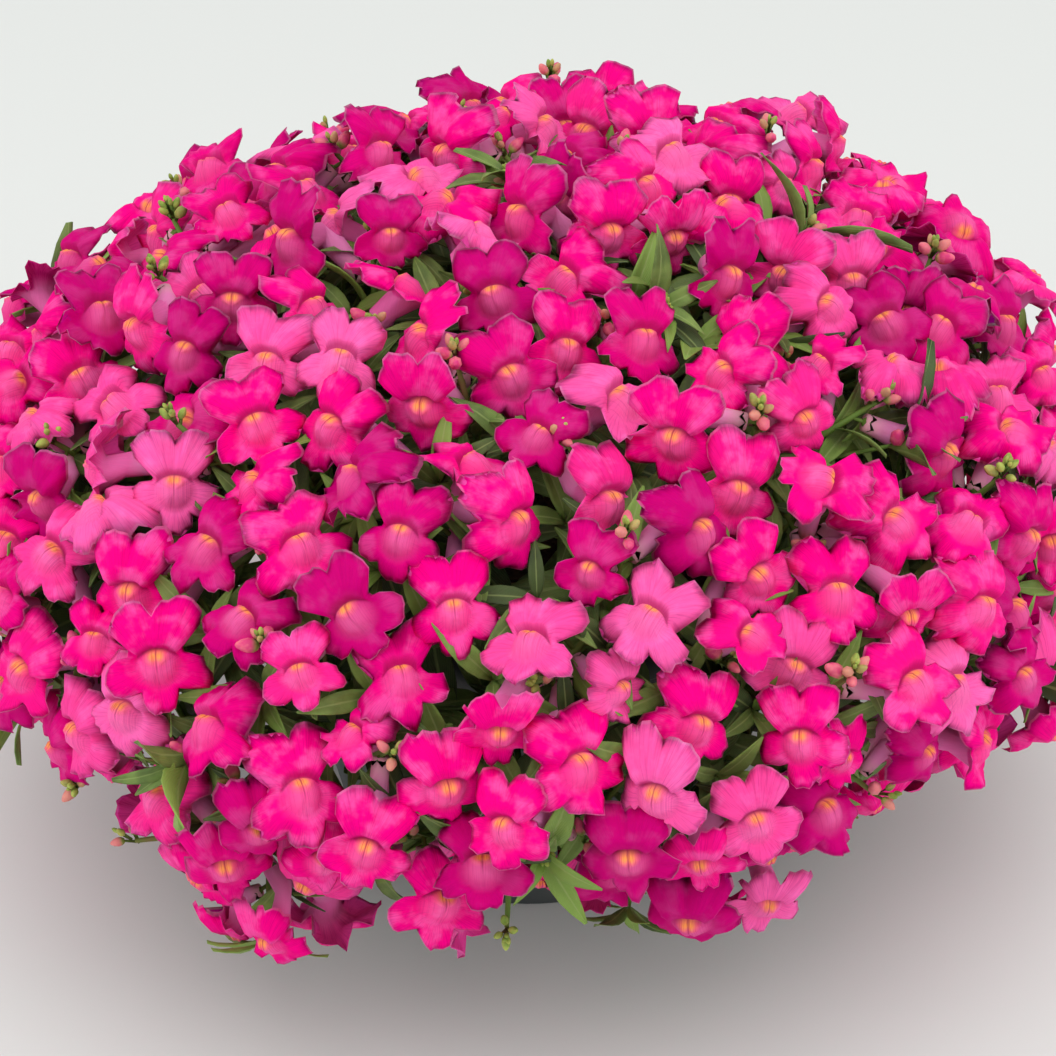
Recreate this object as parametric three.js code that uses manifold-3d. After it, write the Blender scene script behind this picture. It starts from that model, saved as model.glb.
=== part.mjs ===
// A mounding, trailing snapdragon (Antirrhinum majus) in a round plastic nursery pot.
// Millimetres, +Z up. The origin is the centre of the pot's base, which stands on z = 0, and the front is -Y.
//
// The plant is a broad, low mound. Leafy stems stand in holes in the potting soil, branch above it, and
// arch out over the rim. Each branch ends in a flower spray: a forked stalk whose blooms tile the mound's
// surface, side by side with the blooms of the sprays around it. A bloom is a two-lipped snapdragon flower:
// a narrow tube, an upper lip of two lobes, and a lower lip round the raised palate that closes its throat.
// Here and there a leafy shoot tip comes up between the blooms instead of a flower.

import * as THREE from "three";
import { mergeVertices } from "three/addons/utils/BufferGeometryUtils.js";
import Module from "manifold-3d";

const wasm = await Module();
wasm.setup();

// ---------------------------------------------------------------- driving dimensions

const GAP = 0.3; // clear space between two pieces that rest on each other

const POT = {
  height: 135,
  baseRadius: 72,
  rimRadius: 103,
  rimDepth: 14, // height of the thickened band round the top
  rimStep: 3, // how far that band stands out from the wall
  wall: 2.4,
  sides: 24,
};
const SOIL = { below: 11, crown: 4, holeRadius: 4, holeDepth: 18 };
const MOUND = { centreZ: 135, radius: 222, height: 141, depth: 114, lowestLatitude: -43 };
// Places where the mound reaches out or draws in: azimuth and latitude of the middle and the half width,
// in degrees, and the share by which the reach grows there.
const SWELLS = [
  { azimuth: -29, latitude: -31, width: 11, grow: 0.14 }, // spray hanging at the front left
  { azimuth: -48, latitude: -21, width: 11, grow: -0.15 }, // hollow beside it
  { azimuth: -16, latitude: -28, width: 12, grow: -0.09 },
  { azimuth: 4, latitude: -27, width: 14, grow: -0.25 }, // hollow over the pot's foot
  { azimuth: 18, latitude: -27, width: 10, grow: 0.12 }, // spray hanging at the front right
  { azimuth: 43, latitude: -25, width: 15, grow: -0.24 }, // hollow beside it
  { azimuth: 70, latitude: -19, width: 8, grow: 0.07 }, // spray reaching out on the right
  { azimuth: 108, latitude: 25, width: 7, grow: 0.08 },
  { azimuth: 138, latitude: 42, width: 10, grow: 0.11 }, // taller shoots at the back right
  { azimuth: 153, latitude: 53, width: 7, grow: -0.04 },
  { azimuth: -168, latitude: 55, width: 10, grow: -0.03 },
  { azimuth: -147, latitude: 46, width: 9, grow: -0.1 }, // dip at the back left
  { azimuth: -120, latitude: 50, width: 9, grow: -0.11 },
  { azimuth: -104, latitude: 26, width: 8, grow: 0.05 }, // taller shoots on the left
];
const GOLDEN_ANGLE = Math.PI * (3 - Math.sqrt(5));
const SEEDS = { spray: 1000, place: 5000, stem: 9000 }; // each spray, place and stem has a stream of draws
const TRIES = 12; // ways in which a bloom or leaf is turned and sized until it is clear of its neighbours

const SPRAYS = 36;
const FIRST_SPRAY = 0.4; // azimuth of the first spray, in radians
const SPRAY = {
  depth: 60, // from the mound's surface in to the foot of the spray
  forkDepth: 47,
  tipDepth: 15,
  spread: 32, // from the spray's axis out to each of its three stalk ends
  stalkRadius: 3,
  budRadius: 4,
  budLength: 12,
};
const PLACES = 404; // places for a bloom or a leafy tip on the mound's surface
const SCATTER = { azimuth: 0.07, latitude: 0.04 }; // how far a place strays from the even pattern, in radians
const LEAFY_SHARE = 0.045; // of those places hold a leafy tip
const BLOOM = {
  faceDepth: 12, // faces lie between 0 and this far below the surface
  tube: 15, // from the mouth back to the calyx
  smaller: 0.1, // the largest share by which one bloom is smaller than another
  shrink: 0.025, // and the share taken off at each try
  room: 1.03, // a bloom must be clear of its neighbours at this many times its size
};
// The direction that a bloom faces is a sum of these shares of the directions that draw it.
const LOOK = {
  outward: 0.3, // away from its stalk
  outwardOnTop: 0.3, // and as much again on the mound's top
  normalOnTop: -0.25, // square to the surface is 1, and this much more on top
  up: 0.36, // up to the light, and nothing on top
  stray: 0.4,
  upperLipOut: -0.6, // on top, the upper lip is on the side of the mound's middle
  lean: 0.6, // the turn about its own axis, in radians from one extreme to the other
};
const SIDE_STEMS = 7; // leafy stems in a ring, with one more in the middle
const TOP_ANGLE = 27; // sprays this near the vertical, in degrees, belong to the middle stem
const STEM = { radius: 2.9, ringRadius: 42, collar: 6, leanRadius: 60, leanHeight: 156, middleHeight: 165 };
const SHOOT_RADIUS = 1.8;
const OVER_RIM = { radius: 122, height: 166, below: 140 }; // the bend of shoots that end below that height
const TWIG = { radius: 1.4, depth: 14 }; // it ends that far below the mound's surface
const LEAF = { length: 40, width: 12.5, thick: 1.4, droop: 5, room: 1.2 };
const LEAF_TURN = 2.4; // from one leaf to the next round the shoots, in radians
const LEAF_TRY_TURN = 0.7; // and from one try at a leaf to the next
const SHOOT_LEAVES = [0.8, 0.97]; // where leaves grow along a shoot, as shares of its length
const TWIG_LEAVES = [0.6, 0.97, 0.97];

const PETAL_PINK = new THREE.MeshStandardMaterial({ color: 0xe2197f, roughness: 0.55, metalness: 0 });
const LEAF_GREEN = new THREE.MeshStandardMaterial({ color: 0x4c6b2c, roughness: 0.6, metalness: 0 });
const POT_PLASTIC = new THREE.MeshStandardMaterial({ color: 0x2b302e, roughness: 0.45, metalness: 0 });
const SOIL_BROWN = new THREE.MeshStandardMaterial({ color: 0x2e221a, roughness: 0.95, metalness: 0 });

// ---------------------------------------------------------------- small helpers

const vec = (x, y, z) => new THREE.Vector3(x, y, z);
const UP = vec(0, 0, 1);
const radians = (value) => (value * Math.PI) / 180;
const inDegrees = (value) => (value * 180) / Math.PI;
const unit = (v) => v.clone().normalize();
const mix = (a, b, share) => a.clone().lerp(b, share);
const away = (from, direction, distance) => from.clone().addScaledVector(direction, distance);

// A seeded stream of numbers from 0 to 1 (the mulberry32 generator).
function stream(seed) {
  let state = seed >>> 0;
  return () => {
    state = (state + 0x6d2b79f5) >>> 0;
    let t = state;
    t = Math.imul(t ^ (t >>> 15), t | 1);
    t ^= t + Math.imul(t ^ (t >>> 7), t | 61);
    return ((t ^ (t >>> 14)) >>> 0) / 4294967296;
  };
}

// The part of v that is square to the unit vector n, at length 1.
const squareTo = (n, v) => unit(away(v, n, -v.dot(n)));

// Two directions square to n and to each other.
function sidesOf(n) {
  const side = squareTo(n, Math.abs(n.z) < 0.95 ? UP : vec(0, -1, 0));
  return [side, n.clone().cross(side)];
}

// The direction at an angle from the first of two square directions towards the second.
const turned = ([side, over], angle) =>
  side.clone().multiplyScalar(Math.cos(angle)).addScaledVector(over, Math.sin(angle));

// ---------------------------------------------------------------- the mound's surface

const CENTRE = vec(0, 0, MOUND.centreZ);
const LATITUDE_STEPS = 720;

// Latitude here is the eccentric angle of the mound's ellipse. The upper half is taller than the lower one.
const halfHeight = (latitude) => (latitude > 0 ? MOUND.height : MOUND.depth);
const latitudeAt = (step) => radians(90 + ((MOUND.lowestLatitude - 90) * step) / LATITUDE_STEPS);

// The area of the mound's surface above each step of latitude.
const areaAbove = [0];
for (let i = 0; i < LATITUDE_STEPS; i++) {
  const latitude = latitudeAt(i + 0.5);
  const rise = halfHeight(latitude) * Math.cos(latitude);
  areaAbove.push(areaAbove[i] + Math.cos(latitude) * Math.hypot(MOUND.radius * Math.sin(latitude), rise));
}

// The latitude above which lies this share of the surface.
function latitudeOf(share) {
  const wanted = share * areaAbove[LATITUDE_STEPS];
  let i = 0;
  while (areaAbove[i + 1] < wanted) i++;
  return latitudeAt(i + (wanted - areaAbove[i]) / (areaAbove[i + 1] - areaAbove[i]));
}

// How far the surface reaches from the centre at a place, as a share of the plain ellipse's reach.
function reachAt(azimuth, latitude) {
  let reach = 1;
  for (const swell of SWELLS) {
    const turn = inDegrees(azimuth) - swell.azimuth;
    const across = (turn - 360 * Math.round(turn / 360)) / swell.width;
    const along = (inDegrees(latitude) - swell.latitude) / swell.width;
    reach += swell.grow * Math.exp(-across * across - along * along);
  }
  return reach;
}

// A direction away from the pot's axis. Azimuth 0 is the front, and it turns towards +X.
const outwards = (azimuth) => vec(Math.sin(azimuth), -Math.cos(azimuth), 0);

function surfaceAt(azimuth, latitude) {
  const height = halfHeight(latitude);
  const out = outwards(azimuth);
  const arm = out.clone().multiplyScalar(MOUND.radius * Math.cos(latitude));
  arm.z = height * Math.sin(latitude);
  const normal = out.multiplyScalar(Math.cos(latitude) / MOUND.radius);
  normal.z = Math.sin(latitude) / height;
  return {
    azimuth,
    latitude,
    surface: away(CENTRE, arm, reachAt(azimuth, latitude)),
    normal: unit(normal),
    arm: unit(arm),
  };
}

// ---------------------------------------------------------------- solids from geometries

function solidOf(geometry) {
  const bare = geometry.clone();
  bare.deleteAttribute("normal");
  bare.deleteAttribute("uv");
  const merged = mergeVertices(bare, 1e-4);
  return new wasm.Manifold(
    new wasm.Mesh({
      numProp: 3,
      vertProperties: merged.attributes.position.array,
      triVerts: new Uint32Array(merged.index.array),
    }),
  );
}

function geometryOf(solid) {
  const mesh = solid.getMesh();
  const geometry = new THREE.BufferGeometry();
  geometry.setAttribute("position", new THREE.BufferAttribute(mesh.vertProperties, 3));
  geometry.setIndex(new THREE.BufferAttribute(mesh.triVerts, 1));
  return geometry;
}

// A closed solid from points and the triangles between them, wound to face out.
function solidFrom(points, triangles) {
  const geometry = new THREE.BufferGeometry().setFromPoints(points);
  geometry.setIndex(triangles.flat());
  return solidOf(geometry);
}

// The triangles of a three-sided tube between two rings of point numbers.
function tubeBetween(a, b) {
  const triangles = [];
  for (let i = 0; i < 3; i++) {
    const j = (i + 1) % 3;
    triangles.push([a[i], a[j], b[j]], [a[i], b[j], b[i]]);
  }
  return triangles;
}

const joined = (solids) => wasm.Manifold.union(solids);
const biggest = (solid) => solid.decompose().reduce((a, b) => (b.volume() > a.volume() ? b : a));

function meets(a, b) {
  const p = a.boundingBox();
  const q = b.boundingBox();
  for (let i = 0; i < 3; i++) if (p.min[i] > q.max[i] || q.min[i] > p.max[i]) return false;
  return a.intersect(b).volume() > 0;
}

// A three-sided shoot through a row of points. It springs from the first one as a point, so that it can
// be sunk into what bears it, and is cut off at the last, square to the end direction.
function shootSolid(path, radius, end) {
  const points = [path[0]];
  const triangles = [];
  let side = sidesOf(unit(path[1].clone().sub(path[0])))[0];
  for (let i = 1; i < path.length; i++) {
    const along = i + 1 < path.length ? unit(path[i + 1].clone().sub(path[i - 1])) : end;
    side = squareTo(along, side);
    const first = points.length;
    for (const angle of [0, 120, 240]) {
      points.push(away(path[i], turned([side, along.clone().cross(side)], radians(angle)), radius));
    }
    const ring = [first, first + 1, first + 2];
    if (i > 1) triangles.push(...tubeBetween([first - 3, first - 2, first - 1], ring));
    else for (let k = 0; k < 3; k++) triangles.push([ring[k], 0, ring[(k + 1) % 3]]);
  }
  const last = points.length;
  triangles.push([last - 3, last - 2, last - 1]);
  return solidFrom(points, triangles);
}

// ---------------------------------------------------------------- the forked stalk of a spray

// One solid: a foot, three stalks that part at the fork, and a bud at the end of each.
function forkSolid({ axis, foot, fork, stalks, turn }) {
  const sides = sidesOf(axis);
  const between = (m) => turned(sides, turn + ((m - 0.5) * 2 * Math.PI) / 3);
  const points = [];
  for (const level of [foot, fork]) {
    for (let m = 0; m < 3; m++) points.push(away(level, between(m), SPRAY.stalkRadius));
  }
  points.push(away(fork, axis, SPRAY.stalkRadius));
  const top = 6;
  const triangles = [[0, 2, 1], ...tubeBetween([0, 1, 2], [3, 4, 5])];
  stalks.forEach(({ start, tip }, m) => {
    const from = [3 + m, 3 + ((m + 1) % 3), top];
    const along = unit(tip.clone().sub(start));
    const across = squareTo(along, points[from[1]].clone().sub(points[from[0]]));
    const above = along.clone().cross(across);
    const ring = (centre, radius) => {
      const first = points.length;
      for (const angle of [210, 330, 90]) {
        points.push(away(centre, turned([across, above], radians(angle)), radius));
      }
      return [first, first + 1, first + 2];
    };
    const bud = mix(along, UP, 0.45);
    const neck = ring(tip, SPRAY.stalkRadius * 0.85);
    const belly = ring(away(tip, bud, SPRAY.budLength * 0.4), SPRAY.budRadius);
    const end = points.push(away(tip, bud, SPRAY.budLength)) - 1;
    triangles.push(...tubeBetween(from, neck), ...tubeBetween(neck, belly));
    for (let i = 0; i < 3; i++) triangles.push([belly[i], belly[(i + 1) % 3], end]);
  });
  return solidFrom(points, triangles);
}

// The sprays are spread over the surface by the golden angle, as leaves are on a stem.
const sprays = [];
for (let i = 0; i < SPRAYS; i++) {
  const draw = stream(SEEDS.spray + i);
  const latitude = latitudeOf((i + 0.5) / SPRAYS);
  const { azimuth, surface, arm: axis } = surfaceAt(i * GOLDEN_ANGLE + FIRST_SPRAY, latitude);
  const foot = away(surface, axis, -SPRAY.depth);
  const fork = away(surface, axis, -SPRAY.forkDepth);
  const turn = draw() * 2 * Math.PI;
  const sides = sidesOf(axis);
  const stalks = [0, 1, 2].map((m) => {
    const angle = turn + ((m + 0.3 * (draw() - 0.5)) * 2 * Math.PI) / 3;
    const end = away(surface, axis, -SPRAY.tipDepth * (0.6 + 0.8 * draw()));
    const out = turned(sides, turn + (m * 2 * Math.PI) / 3);
    return {
      start: away(away(fork, out, SPRAY.stalkRadius / 3), axis, SPRAY.stalkRadius / 3),
      tip: away(end, turned(sides, angle), SPRAY.spread * (0.85 + 0.3 * draw())),
    };
  });
  const spray = { azimuth, axis, foot, fork, stalks, turn, blooms: [], tips: [], roots: [] };
  spray.stalk = forkSolid(spray);
  sprays.push(spray);
}

// ---------------------------------------------------------------- a bloom

// Half of the flower's outline seen from the front, from the top down: x to the side, y towards the
// viewer, z up, from the middle of the mouth. The other half mirrors it.
const HALF_OUTLINE = [
  [12.2, -0.8, 16.2], // lobe of the upper lip
  [10.6, -4.4, 1.6], // corner of the mouth
  [15.8, -2.8, -9.2], // side lobe of the lower lip
  [7.2, 0.6, -18.6], // middle lobe of the lower lip
];
const LIP_ENDS = 1; // outline points of half the upper lip, below which the mouth's corner comes
const UPPER_NOTCH = [0, -0.6, 12.4];
const PALATE = [0, 6.4, -3.6];
const NECK = [
  [0, -9.5, 5.2],
  [4.7, -9.5, -3.4],
  [-4.7, -9.5, -3.4],
];

const ROOT_SINK = 0.38; // how far past the middle of the stalk a tube ends, as a share of its radius
const ROOT_SHARES = [0.3, 0.42, 0.54, 0.66, 0.78, 0.9]; // along a stalk, where blooms may spring

// The flower as a solid: its head alone, closed at the neck, or the whole flower with its tube.
function bloomSolid(bloom, headOnly = false) {
  const right = bloom.facing.clone().cross(bloom.upright);
  const place = ([x, y, z]) =>
    bloom.face
      .clone()
      .addScaledVector(right, x * bloom.size)
      .addScaledVector(bloom.facing, y * bloom.size)
      .addScaledVector(bloom.upright, z * bloom.size);
  const otherHalf = [...HALF_OUTLINE].reverse().map(([x, y, z]) => [-x, y, z]);
  const outline = [UPPER_NOTCH, ...HALF_OUTLINE, ...otherHalf];
  const points = [...outline, PALATE, ...NECK].map(place);
  const count = outline.length;
  const corners = [LIP_ENDS + 1, count - LIP_ENDS - 1];
  const [palate, ...neck] = [count, count + 1, count + 2, count + 3];
  const inUpperLip = (i) => i < corners[0] || i > corners[1];
  const neckOf = (i) => neck[inUpperLip(i) ? 0 : i <= HALF_OUTLINE.length ? 1 : 2];
  const triangles = [];
  for (let i = 0; i < count; i++) {
    const next = (i + 1) % count;
    triangles.push([i, next, palate], [next, i, neckOf(i)]);
    if (neckOf(i) !== neckOf(next)) triangles.push([next, neckOf(i), neckOf(next)]);
  }
  if (headOnly) {
    triangles.push([neck[1], neck[0], neck[2]]);
  } else {
    // The tube's end is sunk past the middle of the stalk.
    const inwards = unit(bloom.root.clone().sub(place([0, NECK[0][1], 0])));
    points.push(away(bloom.root, inwards, SPRAY.stalkRadius * ROOT_SINK));
    for (let i = 0; i < 3; i++) triangles.push([neck[(i + 1) % 3], neck[i], count + 4]);
  }
  return solidFrom(points, triangles);
}

// The place on a spray's stalks nearest to p that no other bloom has taken.
function rootNear(spray, p) {
  const free = [];
  spray.stalks.forEach(({ start, tip }, m) => {
    for (const share of ROOT_SHARES) {
      if (!spray.roots.includes(m + share)) free.push({ tip, key: m + share, point: mix(start, tip, share) });
    }
  });
  return free.reduce((best, root) => (root.point.distanceTo(p) < best.point.distanceTo(p) ? root : best));
}

// A bloom looks out from the surface, away from the stalk that bears it, and up to the light.
function bloomAt(spray, { surface, normal, latitude }, draw, attempt) {
  const face = away(surface, normal, -BLOOM.faceDepth * draw());
  const size = 1 - BLOOM.smaller * draw() - BLOOM.shrink * attempt;
  const high = Math.max(0, Math.sin(latitude));
  const root = rootNear(spray, away(face, normal, -BLOOM.tube));
  const outward = squareTo(normal, face.clone().sub(root.tip));
  const look = normal.clone().multiplyScalar(1 + LOOK.normalOnTop * high);
  look.addScaledVector(outward, LOOK.outward + LOOK.outwardOnTop * high);
  look.addScaledVector(UP, LOOK.up * (1 - high));
  look.addScaledVector(vec(draw() - 0.5, draw() - 0.5, draw() - 0.5), LOOK.stray);
  const facing = unit(look);
  const top = squareTo(facing, away(UP, outward, LOOK.upperLipOut * high));
  const upright = turned([top, facing.clone().cross(top)], LOOK.lean * (draw() - 0.5));
  return { face, facing, upright, size, root: root.point, key: root.key };
}

// Whether a flower is clear of everything that has grown so far. The tubes of one spray may touch.
function clearOfOthers(spray, head, whole) {
  for (const other of sprays) {
    const same = other === spray;
    if (meets(same ? head : whole, other.stalk)) return false;
    for (const bloom of other.blooms) {
      if (same ? meets(whole, bloom.head) || meets(head, bloom.whole) : meets(whole, bloom.whole)) return false;
    }
  }
  return true;
}

function growBloom(spray, place, draw) {
  for (let attempt = 0; attempt < TRIES; attempt++) {
    const bloom = bloomAt(spray, place, draw, attempt);
    const room = { ...bloom, size: bloom.size * BLOOM.room };
    if (!clearOfOthers(spray, bloomSolid(room, true), bloomSolid(room))) continue;
    spray.blooms.push({ head: bloomSolid(bloom, true), whole: bloomSolid(bloom) });
    spray.roots.push(bloom.key);
    return;
  }
}

for (let k = 0; k < PLACES; k++) {
  const draw = stream(SEEDS.place + k);
  const azimuth = k * GOLDEN_ANGLE + SCATTER.azimuth * (draw() - 0.5);
  const place = surfaceAt(azimuth, latitudeOf((k + 0.5) / PLACES) + SCATTER.latitude * (draw() - 0.5));
  const spray = sprays.reduce((best, s) => (s.axis.dot(place.arm) > best.axis.dot(place.arm) ? s : best));
  if (draw() < LEAFY_SHARE) spray.tips.push(place);
  else growBloom(spray, place, draw);
}

const spraySolid = (spray) => biggest(joined([spray.stalk, ...spray.blooms.map((bloom) => bloom.whole)]));

// ---------------------------------------------------------------- leafy stems

// A lance-shaped leaf, arched along its length, with a keel under its rib.
function leafSolid({ base, along, upper, length, width }) {
  const side = along.clone().cross(upper);
  const tip = away(away(base, along, length), upper, -LEAF.droop);
  const belly = away(base, along, 0.42 * length);
  const keel = away(belly, upper, -LEAF.thick);
  const points = [base, tip, away(belly, side, width / 2), away(belly, side, -width / 2), keel];
  const triangles = [
    [0, 2, 3],
    [1, 3, 2],
    [0, 4, 2],
    [1, 2, 4],
    [0, 3, 4],
    [1, 4, 3],
  ];
  return solidFrom(points, triangles);
}

// One leaf growing from a shoot's path, at an angle round it.
function leafFrom(path, share, angle, draw) {
  const step = Math.min(path.length - 2, Math.floor(share * (path.length - 1)));
  const stem = unit(path[step + 1].clone().sub(path[step]));
  const base = mix(path[step], path[step + 1], share * (path.length - 1) - step);
  const along = unit(turned(sidesOf(stem), angle).multiplyScalar(0.75).addScaledVector(stem, 0.65));
  const length = LEAF.length * (0.75 + 0.4 * draw());
  return { base, along, upper: squareTo(along, stem), length, width: (LEAF.width * length) / LEAF.length };
}

// Which leafy stem bears a spray.
function stemOf(spray) {
  if (inDegrees(Math.acos(spray.axis.z)) < TOP_ANGLE) return SIDE_STEMS;
  const turns = spray.azimuth / (2 * Math.PI);
  return Math.floor((turns - Math.floor(turns)) * SIDE_STEMS);
}

const soilTop = POT.height - SOIL.below;

// Where leafy stem g stands in the soil, and the point that it first leans to.
function stemPlace(g) {
  const middle = g === SIDE_STEMS;
  const out = middle ? vec(0, 0, 0) : outwards(((g + 0.5) / SIDE_STEMS) * 2 * Math.PI);
  return {
    hole: away(vec(0, 0, soilTop + SOIL.crown), out, STEM.ringRadius),
    lean: away(vec(0, 0, middle ? STEM.middleHeight : STEM.leanHeight), out, STEM.leanRadius),
    out,
  };
}

// The way of a shoot to the foot of a spray. The low ones go out over the rim before they hang.
function shootPath(points, spray, steps, sway) {
  const end = away(spray.foot, spray.axis, -GAP);
  const before = away(end, spray.axis, -7);
  const bend = away(vec(0, 0, OVER_RIM.height), outwards(spray.azimuth), OVER_RIM.radius);
  const middle = before.z < OVER_RIM.below ? bend : away(mix(points.at(-1), before, 0.5), UP, 5);
  const curve = new THREE.CatmullRomCurve3([...points, middle.add(sway), before, end], false, "centripetal");
  return curve.getSpacedPoints(steps);
}

// The first of a few tries at a growth that is clear of the pieces round it.
function firstClear(tries, others) {
  for (let attempt = 0; attempt < TRIES; attempt++) {
    const growth = tries(attempt);
    if (!others.some((other) => meets(growth.room ?? growth.solid, other))) return growth;
  }
  return null;
}

const SWAY = 2.5; // how much further aside each try at a shoot goes
const swayOf = (axis, attempt) => turned(sidesOf(axis), LEAF_TURN * attempt).multiplyScalar(SWAY * attempt);

function leafyStem(g, neighbours) {
  const { hole, lean, out } = stemPlace(g);
  const draw = stream(SEEDS.stem + g);
  const own = sprays.filter((spray) => stemOf(spray) === g);
  // The stem itself runs on into the spray that lies nearest its own way out.
  const ahead = away(out, UP, g === SIDE_STEMS ? 1 : 0.6);
  own.sort((a, b) => b.axis.dot(ahead) - a.axis.dot(ahead));
  const collar = away(hole, UP, STEM.collar + GAP);
  const pegLength = SOIL.holeDepth + STEM.collar;
  const peg = new THREE.CylinderGeometry(STEM.radius, STEM.radius, pegLength, 5).rotateX(Math.PI / 2);
  const shoots = [{ solid: solidOf(peg.translate(hole.x, hole.y, collar.z - pegLength / 2)) }];
  const leaves = [];
  own.forEach((spray, i) => {
    const start = i ? [shoots[1].path[1 + (i % 2)]] : [away(collar, UP, -4), lean];
    const radius = i ? SHOOT_RADIUS : SHOOT_RADIUS * 1.3;
    const shoot = firstClear((attempt) => {
      const path = shootPath(start, spray, i ? 3 : 4, swayOf(spray.axis, attempt));
      return { path, solid: shootSolid(path, radius, spray.axis) };
    }, neighbours);
    shoots.push(shoot);
    for (const share of SHOOT_LEAVES) leaves.push({ share, bearer: shoot });
    for (const tip of spray.tips) {
      const twig = firstClear((attempt) => {
        const from = mix(shoot.path.at(-2), shoot.path.at(-1), 0.8);
        const to = away(tip.surface, tip.normal, -TWIG.depth).add(swayOf(tip.normal, attempt));
        return { path: [from, to], solid: shootSolid([from, mix(from, to, 0.3), to], TWIG.radius, tip.normal) };
      }, neighbours);
      if (!twig) continue;
      shoots.push(twig);
      for (const share of TWIG_LEAVES) leaves.push({ share, bearer: twig });
    }
  });
  // Each leaf is turned until it is clear of the pot, the flowers and the other leaves, or is left out.
  const grown = [];
  leaves.forEach(({ share, bearer }, i) => {
    const otherShoots = shoots.filter((shoot) => shoot !== bearer).map((shoot) => shoot.solid);
    const others = [...neighbours, ...grown, ...otherShoots];
    const leaf = firstClear((attempt) => {
      const shape = leafFrom(bearer.path, share, LEAF_TURN * i + LEAF_TRY_TURN * attempt, draw);
      const room = leafSolid({ ...shape, width: shape.width + LEAF.room, length: shape.length + LEAF.room });
      return { room, solid: leafSolid(shape) };
    }, others);
    if (leaf) grown.push(leaf.solid);
  });
  return biggest(joined([...shoots.map((shoot) => shoot.solid), ...grown]));
}

// ---------------------------------------------------------------- pot and soil

const bandZ = POT.height - POT.rimDepth;

// Radius of the pot's outer wall at a height. It flares up to the band and is straight inside the band.
const wallRadius = (z) =>
  POT.baseRadius + ((POT.rimRadius - POT.rimStep - POT.baseRadius) * Math.min(z, bandZ)) / bandZ;
const innerRadius = (z) => wallRadius(z) - POT.wall;

function lathe(profile) {
  const points = profile.map(([r, z]) => new THREE.Vector2(r, z));
  return solidOf(new THREE.LatheGeometry(points, POT.sides).rotateX(Math.PI / 2));
}

function potSolid() {
  return lathe([
    [0, 0],
    [POT.baseRadius, 0],
    [wallRadius(bandZ), bandZ],
    [POT.rimRadius, bandZ + 1.5],
    [POT.rimRadius, POT.height],
    [innerRadius(POT.height), POT.height],
    [innerRadius(bandZ), bandZ],
    [innerRadius(POT.wall), POT.wall],
    [0, POT.wall],
  ]);
}

function soilSolid() {
  const floor = POT.wall + GAP;
  const crown = soilTop + SOIL.crown;
  const side = 2 * GAP; // a little more than the gap, as both are many-sided
  let solid = lathe([
    [0, floor],
    [innerRadius(floor) - side, floor],
    [innerRadius(bandZ) - side, bandZ],
    [innerRadius(soilTop) - side, soilTop],
    [innerRadius(soilTop) * 0.6, crown],
    [0, crown],
  ]);
  for (let g = 0; g <= SIDE_STEMS; g++) {
    const { hole } = stemPlace(g);
    const bore = new THREE.CylinderGeometry(SOIL.holeRadius, SOIL.holeRadius, 2 * SOIL.holeDepth, 6);
    bore.rotateX(Math.PI / 2).translate(hole.x, hole.y, hole.z);
    solid = solid.subtract(solidOf(bore));
  }
  return solid;
}

// ---------------------------------------------------------------- the plant

const plant = new THREE.Group();

function addPiece(name, solid, material) {
  const mesh = new THREE.Mesh(geometryOf(solid), material);
  mesh.name = name;
  plant.add(mesh);
}

const numbered = (name, i) => name + "_" + String(i + 1).padStart(2, "0");
const pieces = [potSolid()];
addPiece("pot", pieces[0], POT_PLASTIC);
addPiece("soil", soilSolid(), SOIL_BROWN);
sprays.forEach((spray, i) => {
  const solid = spraySolid(spray);
  pieces.push(solid);
  addPiece(numbered("flower_spray", i), solid, PETAL_PINK);
});
for (let g = 0; g <= SIDE_STEMS; g++) {
  const solid = leafyStem(g, pieces);
  pieces.push(solid);
  addPiece(numbered("leafy_stem", g), solid, LEAF_GREEN);
}

export default plant;
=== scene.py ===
# %% [markdown]
# # A trailing snapdragon in its nursery pot
# The plant is a broad mound of two-lipped blooms over dark, lance-shaped leaves. Its solids are already
# packed: a pot, its soil, eight leafy stems and thirty-six flower sprays, each with plain, chunky blooms.
# This lesson regrows the same plant in fine detail, bloom for bloom and shoot for shoot, and dresses it.

# %% The frame
import math
import bmesh
import bpy
from mathutils import Matrix, Vector, noise
from mathutils.kdtree import KDTree


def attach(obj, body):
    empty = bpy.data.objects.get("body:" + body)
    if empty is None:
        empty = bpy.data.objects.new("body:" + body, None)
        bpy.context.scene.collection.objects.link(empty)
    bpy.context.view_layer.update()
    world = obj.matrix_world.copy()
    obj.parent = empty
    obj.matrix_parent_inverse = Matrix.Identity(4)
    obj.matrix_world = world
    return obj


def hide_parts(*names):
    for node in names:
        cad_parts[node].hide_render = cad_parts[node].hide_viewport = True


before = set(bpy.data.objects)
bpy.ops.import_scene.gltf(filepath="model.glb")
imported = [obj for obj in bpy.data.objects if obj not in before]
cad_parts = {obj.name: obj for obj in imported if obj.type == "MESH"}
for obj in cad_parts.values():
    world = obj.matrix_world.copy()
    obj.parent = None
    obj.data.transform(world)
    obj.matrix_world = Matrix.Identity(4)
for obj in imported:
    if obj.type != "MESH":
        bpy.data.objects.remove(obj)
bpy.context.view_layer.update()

# %% [markdown]
# Petals and leaves are measured in millimetres, so every shape is drawn in millimetres. A finished bmesh is
# scaled to metres as it becomes a piece. The piece's object stays at the origin, because its place is in its
# mesh, and everything rides on the one body that this plant has.

# %% From a bmesh to a piece
MM = 0.001
UP = Vector((0, 0, 1))
AHEAD = Vector((0, -1, 0))


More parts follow.
